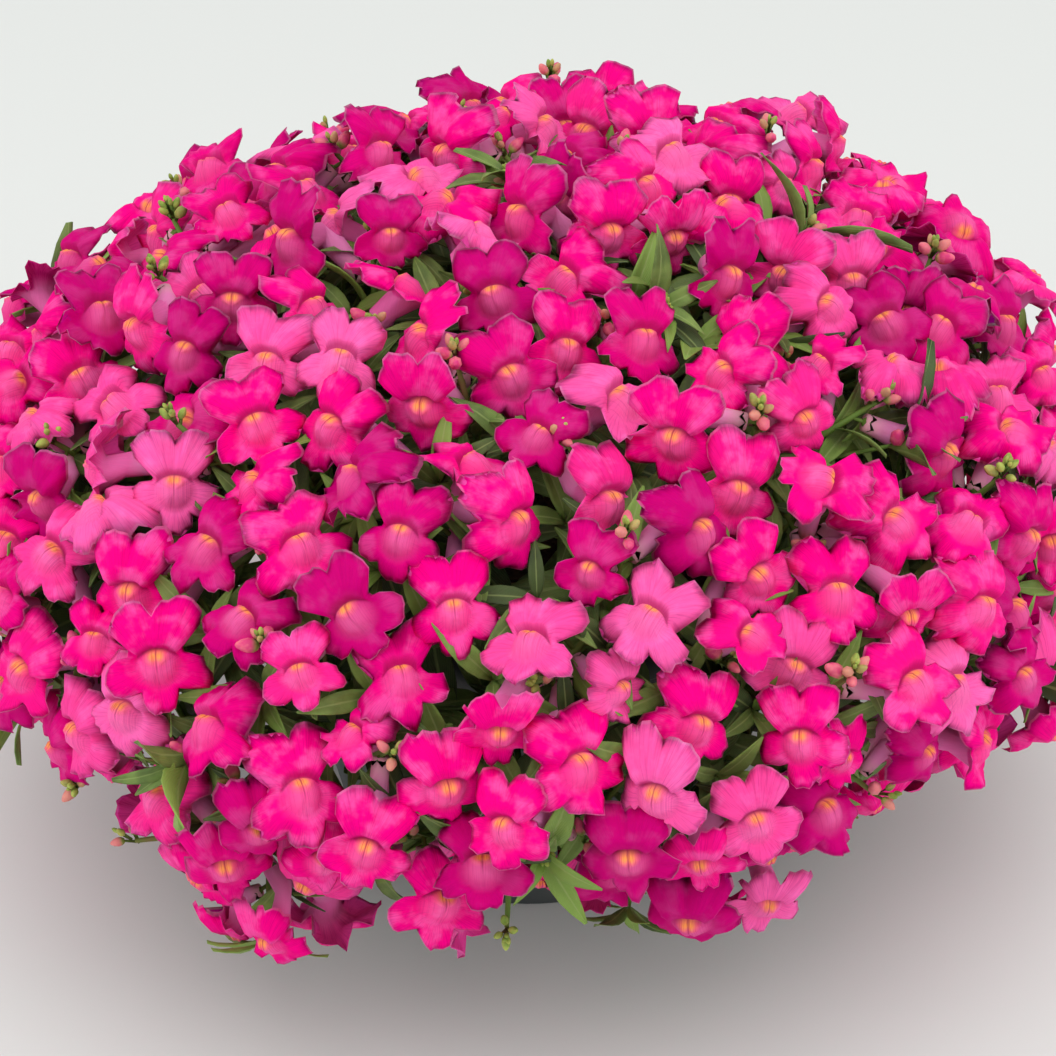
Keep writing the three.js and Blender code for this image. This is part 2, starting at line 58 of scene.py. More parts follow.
def finished_piece(name, bm, material, stands_for=()):
    bmesh.ops.recalc_face_normals(bm, faces=bm.faces)
    bmesh.ops.scale(bm, vec=(MM, MM, MM), verts=bm.verts)
    for face in bm.faces:
        face.smooth = True
    mesh = bpy.data.meshes.new(name)
    bm.to_mesh(mesh)
    bm.free()
    piece = bpy.data.objects.new(name, mesh)
    bpy.context.scene.collection.objects.link(piece)
    mesh.materials.append(material)
    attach(piece, "root")
    if stands_for:
        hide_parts(*stands_for)
    triangles = sum(len(face.vertices) - 2 for face in mesh.polygons)
    print(name, triangles, "triangles")


# %% [markdown]
# Each material is a small graph of nodes. One helper adds a node: it fills the node's inputs in order, from
# values or from other nodes' outputs, and returns the output that the next node needs. Colours are given as
# they look on a screen, in sRGB hex, and turned to the linear values that the renderer works with.

# %% Helpers for the materials


def linear(hex_colour):
    def channel(shift):
        value = ((hex_colour >> shift) & 255) / 255
        return value / 12.92 if value <= 0.04045 else ((value + 0.055) / 1.055) ** 2.4

    return (channel(16), channel(8), channel(0), 1.0)


def feed(material, socket, value):
    if isinstance(value, bpy.types.NodeSocket):
        material.node_tree.links.new(value, socket)
    elif socket.type == "RGBA":
        socket.default_value = linear(value)
    elif value is not None:
        socket.default_value = value


def add(material, kind, *values, out=0, named=None, **settings):
    """Adds a node and returns one of its outputs. An int given to a colour input is a hex colour."""
    node = material.node_tree.nodes.new("ShaderNode" + kind)
    for key, value in settings.items():
        setattr(node, key, value)
    shown = [socket for socket in node.inputs if socket.enabled]
    for socket, value in zip(shown, values):
        feed(material, socket, value)
    for name, value in (named or {}).items():
        feed(material, node.inputs[name], value)
    if isinstance(out, str):
        return node.outputs[out]
    return [socket for socket in node.outputs if socket.enabled][out]


def socket_of(shader, name):
    return shader.inputs[name.replace("_", " ").title().replace("Ior", "IOR")]


def finish(material, shader, **varying):
    """Links the last outputs of a material's graph to its shader."""
    for name, value in varying.items():
        feed(material, socket_of(shader, name), value)


def new_material(name, **uniform):
    """A material and its shader. The uniform values are set on the shader's own sockets."""
    material = bpy.data.materials.new(name)
    material.use_nodes = True
    nodes = material.node_tree.nodes
    nodes.clear()
    output = nodes.new("ShaderNodeOutputMaterial")
    shader = nodes.new("ShaderNodeBsdfPrincipled")
    material.node_tree.links.new(shader.outputs["BSDF"], output.inputs["Surface"])
    for name, value in uniform.items():
        socket_of(shader, name).default_value = value
    return material, shader


def per_metre(size):
    """The scale of a pattern whose spots are this many millimetres wide."""
    return 1 / (size * MM)


SOFT = {"interpolation_type": "SMOOTHSTEP"}  # a share that eases in and out
COLOUR = {"data_type": "RGBA"}  # a mix of two colours
print("mid grey is", round(linear(0x808080)[0], 3), "in linear values")

# %% [markdown]
# ## The studio
# The camera looks down on the plant from the front, from far enough away to keep the mound's shape. A longer
# lens further off would flatten the plant, and a shorter one near by would swell its front.

# %% Camera
VIEW_DISTANCE = 1.35
VIEW_ELEVATION = math.radians(33)
LENS_PIXELS = 3500
PICTURE_PIXELS = 1056
SENSOR = 36.0
LOOK_AT = Vector((0, 0, 0.128))

camera = bpy.data.objects.new("camera", bpy.data.cameras.new("camera"))
bpy.context.scene.collection.objects.link(camera)
camera.data.sensor_width = SENSOR
camera.data.lens = SENSOR * LENS_PIXELS / PICTURE_PIXELS
back = Vector((0, -math.cos(VIEW_ELEVATION), math.sin(VIEW_ELEVATION)))
camera.location = LOOK_AT + back * VIEW_DISTANCE
camera.rotation_mode = "QUATERNION"
camera.rotation_quaternion = (-back).to_track_quat("-Z", "Y")
camera.data.clip_start = 0.05
bpy.context.scene.camera = camera
print("lens", round(camera.data.lens, 1), "mm")

# %% [markdown]
# The floor is one large matt board, pale and plain. A curved backdrop would hide the horizon, but the camera
# looks down far enough to see none.

# %% Floor
floor_bm = bmesh.new()
bmesh.ops.create_grid(floor_bm, x_segments=1, y_segments=1, size=6)
floor_mesh = bpy.data.meshes.new("floor")
floor_bm.to_mesh(floor_mesh)
floor_bm.free()
floor = bpy.data.objects.new("floor", floor_mesh)
bpy.context.scene.collection.objects.link(floor)
floor_paint, floor_shader = new_material("matt_studio_board")
floor_shader.inputs["Base Color"].default_value = linear(0xDDE0DD)
floor_shader.inputs["Roughness"].default_value = 0.75
floor_mesh.materials.append(floor_paint)
print("floor faces:", len(floor_mesh.polygons))

# %% [markdown]
# A wide light overhead and a little in front gives the blooms their soft shading and leaves a soft shadow
# under the mound. Two weaker ones at the sides keep the flanks and the shadow from going dull. The rest comes
# from a plain white world, as from the walls of a bright room.

# %% Light


LIGHT_AIM = Vector((0, 0, 0.15))


def soft_light(name, place, size, watts):
    lamp = bpy.data.lights.new(name, "AREA")
    lamp.shape = "DISK"
    lamp.size = size
    lamp.energy = watts
    light = bpy.data.objects.new(name, lamp)
    bpy.context.scene.collection.objects.link(light)
    light.location = place
    light.rotation_mode = "QUATERNION"
    light.rotation_quaternion = (LIGHT_AIM - Vector(place)).to_track_quat("-Z", "Y")


soft_light("overhead", (0.1, -1.0, 2.4), 2.4, 24)
soft_light("left", (-1.7, -0.6, 0.9), 1.2, 7)
soft_light("right", (1.7, -0.6, 0.9), 1.2, 6)
world = bpy.data.worlds.new("studio")
bpy.context.scene.world = world
world.use_nodes = True
world.node_tree.nodes["Background"].inputs["Color"].default_value = linear(0xFFFFFF)
world.node_tree.nodes["Background"].inputs["Strength"].default_value = 0.83
bpy.context.scene.view_settings.view_transform = "Standard"
print("overhead light:", bpy.data.lights["overhead"].energy, "watts")

# %% [markdown]
# ## Where everything grows
# The solids were grown by a rule with seeded draws: sprays and blooms are spread over the mound by the golden
# angle. The same rule is followed here, with the same seeds, so the same plant comes up. First come the draws
# themselves, and a few words for directions.

# %% Draws and directions
GOLDEN_ANGLE = math.pi * (3 - math.sqrt(5))
SEEDS = {"spray": 1000, "place": 5000, "stem": 9000, "detail": 20000}
WORD = 0xFFFFFFFF  # the largest 32-bit number


def stream(seed):
    """Seeded numbers from 0 to 1, by the mulberry32 generator."""
    state = seed

    def draw():
        nonlocal state
        state = (state + 0x6D2B79F5) & WORD
        t = ((state ^ (state >> 15)) * (state | 1)) & WORD
        t ^= (t + ((t ^ (t >> 7)) * (t | 61))) & WORD
        return (t ^ (t >> 14)) / (WORD + 1)

    return draw


def square_to(n, v):
    return (v - n * v.dot(n)).normalized()


def sides_of(n):
    side = square_to(n, UP if abs(n.z) < 0.95 else AHEAD)
    return side, n.cross(side)


def turned(sides, angle):
    return sides[0] * math.cos(angle) + sides[1] * math.sin(angle)


sample = stream(SEEDS["spray"])
print("first draws:", [round(sample(), 3) for _ in range(3)])


# %% [markdown]
# The mound is a wide dome that bulges and draws in at a few places. A place on it is given by its azimuth
# from the front and its latitude, as on a globe. An ellipsoid that swells here and there is enough for it,
# because the blooms hide the rest.

# %% The mound's surface
MOUND = {"centre_z": 135, "radius": 222, "height": 141, "depth": 114, "lowest": -43}
SWELLS = [  # azimuth, latitude and half width in degrees, and the share by which the reach grows
    (-29, -31, 11, 0.14),
    (-48, -21, 11, -0.15),
    (-16, -28, 12, -0.09),
    (4, -27, 14, -0.25),
    (18, -27, 10, 0.12),
    (43, -25, 15, -0.24),
    (70, -19, 8, 0.07),
    (108, 25, 7, 0.08),
    (138, 42, 10, 0.11),
    (153, 53, 7, -0.04),
    (-168, 55, 10, -0.03),
    (-147, 46, 9, -0.1),
    (-120, 50, 9, -0.11),
    (-104, 26, 8, 0.05),
]


def half_height(latitude):
    return MOUND["height"] if latitude > 0 else MOUND["depth"]


def reach_at(azimuth, latitude):
    reach = 1
    for middle, height, width, grow in SWELLS:
        turn = math.degrees(azimuth) - middle
        across = (turn - 360 * math.floor(turn / 360 + 0.5)) / width
        along = (math.degrees(latitude) - height) / width
        reach += grow * math.exp(-across * across - along * along)
    return reach


def outwards(azimuth):
    return Vector((math.sin(azimuth), -math.cos(azimuth), 0))


def surface_at(azimuth, latitude):
    height = half_height(latitude)
    arm = outwards(azimuth) * (MOUND["radius"] * math.cos(latitude)) + UP * (height * math.sin(latitude))
    normal = outwards(azimuth) * (math.cos(latitude) / MOUND["radius"]) + UP * (math.sin(latitude) / height)
    surface = UP * MOUND["centre_z"] + arm * reach_at(azimuth, latitude)
    return {
        "azimuth": azimuth,
        "latitude": latitude,
        "surface": surface,
        "normal": normal.normalized(),
        "arm": arm.normalized(),
    }


print("the mound's top is at z =", round(surface_at(0, math.pi / 2)["surface"].z), "mm")


# %% [markdown]
# Sprays and blooms are spread evenly over the mound's area, from its top down to where the lowest sprays hang
# beside the pot. So the area is added up ring by ring, and a place's share of it gives its latitude.

# %% Even places over the mound
STEPS = 720


def latitude_at(steps):
    return math.radians(90 + (MOUND["lowest"] - 90) * steps / STEPS)


area_above = [0]
for i in range(STEPS):
    middle = latitude_at(i + 0.5)
    slope = math.hypot(MOUND["radius"] * math.sin(middle), half_height(middle) * math.cos(middle))
    area_above.append(area_above[-1] + math.cos(middle) * slope)


def latitude_of(share):
    wanted = share * area_above[-1]
    i = 0
    while area_above[i + 1] < wanted:
        i += 1
    return latitude_at(i + (wanted - area_above[i]) / (area_above[i + 1] - area_above[i]))


print("half of the mound lies above latitude", round(math.degrees(latitude_of(0.5))), "degrees")


# %% [markdown]
# A spray is a forked stalk. It rises along its own arm from the middle of the plant, and its three branches
# spread under the surface, where the blooms open.

# %% The sprays
SPRAYS = 36
FIRST_SPRAY = 0.4
SPRAY = {"depth": 60, "fork": 47, "tip": 15, "spread": 32, "stalk": 3}

sprays = []
for i in range(SPRAYS):
    draw = stream(SEEDS["spray"] + i)
    here = surface_at(i * GOLDEN_ANGLE + FIRST_SPRAY, latitude_of((i + 0.5) / SPRAYS))
    axis = here["arm"]
    foot = here["surface"] - axis * SPRAY["depth"]
    fork = here["surface"] - axis * SPRAY["fork"]
    turn = draw() * 2 * math.pi
    sides = sides_of(axis)
    stalks = []
    for m in range(3):
        angle = turn + (m + 0.3 * (draw() - 0.5)) * 2 * math.pi / 3
        end = here["surface"] - axis * (SPRAY["tip"] * (0.6 + 0.8 * draw()))
        out = turned(sides, turn + m * 2 * math.pi / 3)
        start = fork + (out + axis) * (SPRAY["stalk"] / 3)
        stalks.append((start, end + turned(sides, angle) * (SPRAY["spread"] * (0.85 + 0.3 * draw()))))
    spray = {"azimuth": here["azimuth"], "axis": axis, "foot": foot, "fork": fork, "stalks": stalks}
    spray.update(name=f"flower_spray_{i + 1:02d}", blooms=[], tips=[], roots=[])
    sprays.append(spray)
print("sprays:", len(sprays))

# %% [markdown]
# A bloom was tried at each place up to twelve times, a little smaller and turned a little further each time,
# until it was clear of its neighbours. The solid shows which try took: the tip of that try's palate is one of
# its corners. So each try is worked out again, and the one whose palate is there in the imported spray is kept.
# A tree of a solid's corners finds the nearest one fast.

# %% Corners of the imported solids


def corners_of(node):
    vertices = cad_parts[node].data.vertices
    tree = KDTree(len(vertices))
    for vertex in vertices:
        tree.insert(vertex.co / MM, vertex.index)
    tree.balance()
    return tree


SAME_CORNER = 0.03


def is_there(tree, point):
    return tree.find(point)[2] < SAME_CORNER


print("corners of the first spray:", len(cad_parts["flower_spray_01"].data.vertices))


# %% [markdown]
# A snapdragon's blooms stand round their stalk, face outwards and keep their upper lip on top. Higher on the
# mound they look further up. Each is rooted at the nearest free spot of its spray's stalks.

# %% How a bloom is set
PLACES = 404
SCATTER = {"azimuth": 0.07, "latitude": 0.04}
LEAFY_SHARE = 0.045
TRIES = 12
BLOOM = {"face_depth": 12, "tube": 15, "smaller": 0.1, "shrink": 0.025}
LOOK = {
    "outward": 0.3,
    "outward_on_top": 0.3,
    "normal_on_top": -0.25,
    "up": 0.36,
    "stray": 0.4,
    "upper_lip_out": -0.6,
    "lean": 0.6,
}
ROOT_SHARES = [0.3, 0.42, 0.54, 0.66, 0.78, 0.9]


def root_near(spray, p):
    free = [
        (start.lerp(tip, share), tip, m + share)
        for m, (start, tip) in enumerate(spray["stalks"])
        for share in ROOT_SHARES
        if m + share not in spray["roots"]
    ]
    return min(free, key=lambda root: (root[0] - p).length)


def bloom_at(spray, place, draw, attempt):
    face = place["surface"] - place["normal"] * (BLOOM["face_depth"] * draw())
    size = 1 - BLOOM["smaller"] * draw() - BLOOM["shrink"] * attempt
    high = max(0, math.sin(place["latitude"]))
    root, tip, key = root_near(spray, face - place["normal"] * BLOOM["tube"])
    outward = square_to(place["normal"], face - tip)
    look = place["normal"] * (1 + LOOK["normal_on_top"] * high)
    look += outward * (LOOK["outward"] + LOOK["outward_on_top"] * high) + UP * (LOOK["up"] * (1 - high))
    look += Vector((draw() - 0.5, draw() - 0.5, draw() - 0.5)) * LOOK["stray"]
    facing = look.normalized()
    top = square_to(facing, UP + outward * (LOOK["upper_lip_out"] * high))
    upright = turned((top, facing.cross(top)), LOOK["lean"] * (draw() - 0.5))
    return {"face": face, "facing": facing, "upright": upright, "size": size, "root": root, "key": key}


print("places to look at:", PLACES)


# %% [markdown]
# On top of the mound a bloom is turned a little more about its own middle, because real blooms turn to the
# light. The flower's own axes then place every corner of it.

# %% Turning a bloom to the light
TO_LIGHT = {"face": 0.55, "upper_lip": 0.85}
PALATE_PEAK = Vector((0, 6.4, -3.6))


def turn_to_light(bloom, place):
    """Turns a bloom on top of the mound about its own middle, towards the light in front."""
    high = max(0, math.sin(place["latitude"]))
    bloom["facing"] = (bloom["facing"] + AHEAD * (TO_LIGHT["face"] * high)).normalized()
    top = bloom["upright"] + (UP - AHEAD) * (TO_LIGHT["upper_lip"] * high)
    bloom["upright"] = square_to(bloom["facing"], top)


def frame_of(bloom):
    """The matrix that takes the flower's own x to its side, y to the front and z to its top."""
    across = bloom["facing"].cross(bloom["upright"])
    turn = Matrix((across, bloom["facing"], bloom["upright"])).transposed().to_4x4()
    return Matrix.Translation(bloom["face"]) @ turn @ Matrix.Scale(bloom["size"], 4)


print("the tip of a palate is", round(PALATE_PEAK.length, 1), "mm from the flower's own origin")


# %% [markdown]
# The places follow the golden angle, so they spread evenly without rows. A few of them carry a leafy tip in
# place of a bloom. The blooms could also be read off the solids, as loose parts, but those have grown into
# one body with their stalks. The rule gives each bloom's own axes as well.

# %% Finding every bloom again
trees = {spray["name"]: corners_of(spray["name"]) for spray in sprays}
for k in range(PLACES):
    draw = stream(SEEDS["place"] + k)
    azimuth = k * GOLDEN_ANGLE + SCATTER["azimuth"] * (draw() - 0.5)
    latitude = latitude_of((k + 0.5) / PLACES) + SCATTER["latitude"] * (draw() - 0.5)
    place = surface_at(azimuth, latitude)
    spray = max(sprays, key=lambda s: s["axis"].dot(place["arm"]))
    if draw() < LEAFY_SHARE:
        spray["tips"].append(place)
        continue
    for attempt in range(TRIES):
        bloom = bloom_at(spray, place, draw, attempt)
        if is_there(trees[spray["name"]], frame_of(bloom) @ PALATE_PEAK):
            turn_to_light(bloom, place)
            spray["blooms"].append(bloom)
            spray["roots"].append(bloom["key"])
            break
print("blooms found:", sum(len(spray["blooms"]) for spray in sprays))
print("leafy tips:", sum(len(spray["tips"]) for spray in sprays))

# %% [markdown]
# ## The bloom
# A snapdragon's flower is a tube that ends in two lips. The upper lip is two broad lobes that stand up like a
# collar. The lower lip has three lobes below a swollen palate, which presses up against the upper lip and
# keeps the mouth shut. Each lobe is near enough a disc, so the outline is the far side of five discs, seen
# from the middle of the palate. A place on the flower's front is a direction and a share: 0 at the palate's
# middle, 1 in the crease round it and 2 at the petals' edge.

# %% Outline of the bloom
PALATE = {"z": -4.4, "half_width": 7.5, "rise": 5.7, "fall": 7.6, "height": 6.4}
GROOVE = {"width": 0.9, "depth": 0.2}
LOBES = [((7.0, 14.4), 8.1), ((10.3, -3.6), 6.8), ((0.0, -9.6), 6.5)]  # centre beside and above it, radius
WAIST = 10.2
HALF_ANGLES = [0, 4, 9, 15, 21, 27, 33, 39, 45, 52, 60, 68, 77]
HALF_ANGLES += [87, 97, 106, 114, 121, 128, 136, 145, 154, 163, 172, 180]
ANGLES = [math.radians(a) for a in HALF_ANGLES + [360 - a for a in HALF_ANGLES[-2:0:-1]]]
SEGMENTS = len(ANGLES)
FRONT_RINGS = [0.42, 0.8, 1.0, 1.13, 1.4, 1.72, 2.0]
BACK_RINGS = [1.9, 1.3, 1.0]
NECK = {"y": -9.5, "z": 0.9, "radius": 4.9, "corners": 12}


def soft_step(value, low, high):
    share = min(1, max(0, (value - low) / (high - low)))
    return share * share * (3 - 2 * share)


def lobe_reach(angle):
    x, z = abs(math.sin(angle)), math.cos(angle)
    reach = WAIST
    for (lobe_x, lobe_z), radius in LOBES:
        aside = abs(lobe_x * z - lobe_z * x)
        if aside < radius:
            reach = max(reach, lobe_x * x + lobe_z * z + math.sqrt(radius**2 - aside**2))
    return reach


print("outline:", SEGMENTS, "corners, top lobes", round(lobe_reach(math.radians(26))), "mm from the palate")


# %% [markdown]
# The palate is a dome with a groove down its middle. Above it the upper lip starts with a raised brow. Each
# flower has a habit of its own: how its edges wave, how far its upper lip leans back, how far its lower lip
# droops, and how much one side is ahead of the other.

# %% Relief of the bloom
CREASE_Y = (1.0, 2.2)  # below and above the palate
UPPER_LIP = {"starts": 48, "is_full": 64, "brow": 3.8, "back": 4.2, "lean": 6.5, "belly": 1.8}
BROW_END = FRONT_RINGS[3] - 1
LOWER_LIP = {"bow": 1.3, "bow_turn": 2.4, "sweep": 3.4, "droop": 5.5}
RUFFLES = {  # size and fineness
    "outline": (0.13, 3.2),
    "frill": (0.07, 6.5),
    "roll": (5.5, 2.4),
    "crumple": (4.6, 6.5),
}
HABITS = [  # seed of the waves, lean of the upper lip, droop of the lower lip, twist
    (1.3, 0.0, 0.1, 0.1),
    (7.9, 0.45, 0.4, -0.2),
    (13.1, 0.6, 0.1, 0.15),
    (19.7, 0.2, 0.9, 0.0),
    (27.3, 0.65, -0.2, 0.3),
    (33.9, -0.35, 0.3, -0.1),
    (41.1, 0.3, 0.6, -0.35),
    (55.7, 0.8, 0.7, 0.1),
    (62.3, -0.1, -0.1, 0.25),
    (74.9, 0.7, 1.1, -0.2),
]


def ruffle(kind, angle, seed):
    size, fineness = RUFFLES[kind]
    return size * noise.noise(Vector((fineness * math.sin(angle), fineness * math.cos(angle), seed)))


def flower_point(share, angle, habit):
    seed, lean, droop, twist = habit
    across, rise = math.sin(angle), math.cos(angle)
    crease = 1 / math.hypot(across / PALATE["half_width"], rise / PALATE["rise" if rise > 0 else "fall"])
    edge = lobe_reach(angle) * (1 + ruffle("outline", angle, seed) + ruffle("frill", angle, seed + 3))
    s = max(0, share - 1)
    reach = crease * min(share, 1) + (edge - crease) * s
    x = reach * across
    from_top = math.degrees(math.pi - abs(angle - math.pi))
    upper = 1 - soft_step(from_top, UPPER_LIP["starts"], UPPER_LIP["is_full"])
    y = CREASE_Y[0] + (CREASE_Y[1] - CREASE_Y[0]) * upper
    if share < 1:
        groove = 1 - GROOVE["depth"] * math.exp(-((x / GROOVE["width"]) ** 2))
        softness = 0.5 + 0.9 * soft_step(-rise, -0.8, 0.3)
        y += (PALATE["height"] - 0.5 * upper) * (1 - share**2) ** softness * groove
    upper_y = UPPER_LIP["brow"] * soft_step(s, 0, BROW_END)
    upper_y -= (UPPER_LIP["back"] + UPPER_LIP["lean"] * lean) * s * s
    upper_y += UPPER_LIP["belly"] * math.sin(math.pi * s) * abs(across)
    lower_y = LOWER_LIP["bow"] * math.sin(LOWER_LIP["bow_turn"] * s) - LOWER_LIP["sweep"] * (across * s) ** 2
    lower_y -= LOWER_LIP["droop"] * droop * s * s
    y += upper * upper_y + (1 - upper) * lower_y + twist * x * s * s
    y += (ruffle("roll", angle, seed + 5) + ruffle("crumple", angle, seed + 9)) * s * s
    return Vector((x, y, PALATE["z"] + reach * rise))


print("habits:", len(HABITS))


# %% [markdown]
# The flower is modelled flat first: a filled circle, whose rim is extruded ring by ring. Every ring is one
# unit further out, so that a corner's distance and angle say which part of the flower it will be. Then each
# corner moves to its place. The front turns round the petals' edge to the back, and the last ring draws in
# to the neck, where the corners that fall together are merged.

# %% Moulding a bloom
PETAL_THICKNESS = 0.2
THICKER_INWARDS = 2.2
FACE_WIDTH = 40


def mould(name, bm):
    bmesh.ops.recalc_face_normals(bm, faces=bm.faces)
    mesh = bpy.data.meshes.new(name)
    bm.to_mesh(mesh)
    bm.free()
    return mesh


def mould_bloom(habit):
    bm = bmesh.new()
    uv = bm.loops.layers.uv.new("Flower")
    along = bm.verts.layers.float.new("along")
    bm.verts.layers.float.new("tint")
    bmesh.ops.create_circle(bm, cap_ends=True, cap_tris=True, segments=SEGMENTS, radius=1)
    edges = [edge for edge in bm.edges if edge.is_boundary]
    shares = [0] + FRONT_RINGS + BACK_RINGS + [3]
    for k in range(2, len(shares)):
        grown = bmesh.ops.extrude_edge_only(bm, edges=edges)["geom"]
        ring = [item for item in grown if isinstance(item, bmesh.types.BMVert)]
        edges = [item for item in grown if isinstance(item, bmesh.types.BMEdge) and item.is_boundary]
        bmesh.ops.scale(bm, vec=(k / (k - 1),) * 3, verts=ring)
    for vert in bm.verts:
        k = round(vert.co.length)
        i = round(math.atan2(vert.co.x, vert.co.y) / (2 * math.pi) * SEGMENTS) % SEGMENTS
        if k < len(shares) - 1:
            vert.co = flower_point(shares[k], ANGLES[i], habit)
        else:
            corner = round(i / SEGMENTS * NECK["corners"]) / NECK["corners"] * 2 * math.pi
            across = Vector((math.sin(corner), 0, math.cos(corner))) * NECK["radius"]
            vert.co = Vector((0, NECK["y"], NECK["z"])) + across
        vert[along] = shares[k]
        if len(FRONT_RINGS) < k < len(shares) - 1:
            vert.co.y -= PETAL_THICKNESS + THICKER_INWARDS * (2 - shares[k])
            vert[along] = 4 - shares[k]
    for face in bm.faces:
        for loop in face.loops:
            loop[uv].uv = (loop.vert.co.x / FACE_WIDTH + 0.5, loop.vert.co.z / FACE_WIDTH + 0.5)
    bmesh.ops.remove_doubles(bm, verts=bm.verts, dist=0.01)
    return mould("bloom_mould", bm)


bloom_moulds = [mould_bloom(habit) for habit in HABITS]
print("a bloom's head has", len(bloom_moulds[0].polygons), "faces")

# %% [markdown]
# A tube, a stalk, a shoot and a flower's neck are all the same job: a ring of edges that is extruded along a
# path, and turned and scaled on the way. One helper does it. It can start from a new circle, or from the
# open neck of a flower.

# %% Growing along a path


def ring_frame(centre, direction, radius):
    turn = UP.rotation_difference(direction).to_matrix().to_4x4()
    return Matrix.Translation(centre) @ turn @ Matrix.Scale(radius, 4)


def directions_along(path):
    last = len(path) - 1
    return [(path[min(last, i + 1)] - path[max(0, i - 1)]).normalized() for i in range(last + 1)]


def extrude_ring(bm, edges, motion):
    grown = bmesh.ops.extrude_edge_only(bm, edges=edges)["geom"]
    ring = [item for item in grown if isinstance(item, bmesh.types.BMVert)]
    bmesh.ops.transform(bm, matrix=motion, verts=ring)
    among = set(ring)
    return ring, [
        item
        for item in grown
        if isinstance(item, bmesh.types.BMEdge) and item.verts[0] in among and item.verts[1] in among
    ]


def grow_along(bm, path, radii, edges, placed):
    """Extrudes a ring of edges along a path. placed is the frame that the first ring already stands in."""
    rings = []
    for centre, direction, radius in zip(path, directions_along(path), radii):
        target = ring_frame(centre, direction, radius)
        ring, edges = extrude_ring(bm, edges, target @ placed.inverted())
        placed = target
        rings.append(ring)
    bmesh.ops.edgeloop_fill(bm, edges=edges)
    return rings


print("a straight path's directions:", [tuple(way) for way in directions_along([Vector(), AHEAD, AHEAD * 2])])


# %% [markdown]
# A stalk is a tube from a new circle, closed at both ends. A flower's own tube bends like a horn, so its path
# is a Bezier curve that leaves the neck straight and arrives at the calyx straight.

# %% A tube and a bend
def tube(bm, path, radii, sides=6):
    placed = ring_frame(path[0], directions_along(path)[0], radii[0])
    ring = bmesh.ops.create_circle(bm, cap_ends=True, segments=sides, radius=1, matrix=placed)["verts"]
    edges = list({edge for vert in ring for edge in vert.link_edges})
    return [ring] + grow_along(bm, path[1:], radii[1:], edges, placed)


def bezier(a, b, c, d, count):
    shares = [i / (count - 1) for i in range(count)]
    return [
        a * (1 - s) ** 3 + b * (3 * s * (1 - s) ** 2) + c * (3 * s * s * (1 - s)) + d * s**3 for s in shares
    ]


trial = bmesh.new()
tube(trial, [Vector(), UP], [1, 1])
print("a short tube has", len(trial.faces), "faces")
trial.free()


# %% [markdown]
# A flower is a copy of one of the moulds with its own tube grown back from the neck to the calyx. The calyx
# sits on a short stalk, the pedicel, which springs from the spray's own stalk where the solid bloom did.

# %% A whole flower
TUBE = {"radii": (4.5, 3.7, 3.2), "pedicel": 5.0}
NOD = 0.95  # how far a flower nods or turns aside, both ways together, in radians


def add_flower(bm, bloom, draw):
    """Adds a flower to a bmesh of petals. It returns the path of its pedicel, from the calyx to the stalk."""
    head, tint = bloom_moulds[int(len(bloom_moulds) * draw())], draw()
    nod = Matrix.Rotation(NOD * (draw() - 0.5), 4, "X") @ Matrix.Rotation(NOD * (draw() - 0.5), 4, "Z")
    build = Matrix.Diagonal((0.94 + 0.14 * draw(), 1, 0.96 + 0.12 * draw(), 1))
    flower = bmesh.new()
    flower.from_mesh(head)
    along, tinted = flower.verts.layers.float["along"], flower.verts.layers.float["tint"]
    place = frame_of(bloom) @ nod @ build
    root = place.inverted() @ bloom["root"]
    neck = Vector((0, NECK["y"], NECK["z"]))
    inwards = (root - neck).normalized()
    gap = (root - neck).length
    calyx = root - inwards * min(TUBE["pedicel"], 0.3 * gap)
    path = bezier(neck, neck + Vector((0, -0.35 * gap, 0)), calyx - inwards * (0.25 * gap), calyx, 4)[1:]
    edges = [edge for edge in flower.edges if edge.is_boundary]
    placed = ring_frame(neck, Vector((0, -1, 0)), NECK["radius"])
    for k, ring in enumerate(grow_along(flower, path, TUBE["radii"], edges, placed)):
        for vert in ring:
            vert[along] = 3 + (k + 1) / len(path)
    for vert in flower.verts:
        vert[tinted] = tint
    bmesh.ops.transform(flower, matrix=place, verts=flower.verts)
    copy = bpy.data.meshes.new("copy")
    flower.to_mesh(copy)
    flower.free()
    bm.from_mesh(copy)
    bpy.data.meshes.remove(copy)
    return [place @ (calyx - inwards * 1.5), place @ calyx, bloom["root"]]


print("a flower nods by up to", round(math.degrees(NOD / 2)), "degrees")

# %% [markdown]
# ## Finishes
# Petals are matt and velvety: tiny domed cells scatter the light, and some of it passes through, so the
# colour stays strong in the shade. Their finish reads two things that each mould carries. The UV map
# "Flower" is the face of the bloom seen from the front, 40 mm wide. The attribute "along" runs from the
# palate's middle (0) to the crease round it (1), the petals' edge (2), down their backs to the neck (3), and
# along the tube to the calyx (4). The attribute "tint" is the bloom's own draw.

# %% Petal: where a place is on the flower
CLOUD_SIZE = 9.09  # the sizes of patterns are in mm
PETAL_CELL = 0.6667  # real cells are 0.03 mm wide, which is too fine to show
DEEP_PINK, HOT_PINK, LIGHT_PINK = 0xAA0064, 0xF60084, 0xFF62B4
RIM_PINK, BACK_PINK, TUBE_PINK = 0xFFB0D8, 0xEA46A0, 0xE986BE
THROAT_YELLOW, THROAT_SALMON, THROAT_LINE = 0xFFB63C, 0xFF7E72, 0xC81E50
# The crease and groove colours are painted shade.
FADED_PINK, PALATE_PINK, PAINTED_CREASE_SHADE, PAINTED_GROOVE_SHADE = 0xFF80C6, 0xFF7FB8, 0x9C0048, 0x8C0040
CALYX_END = 0xC9BC92

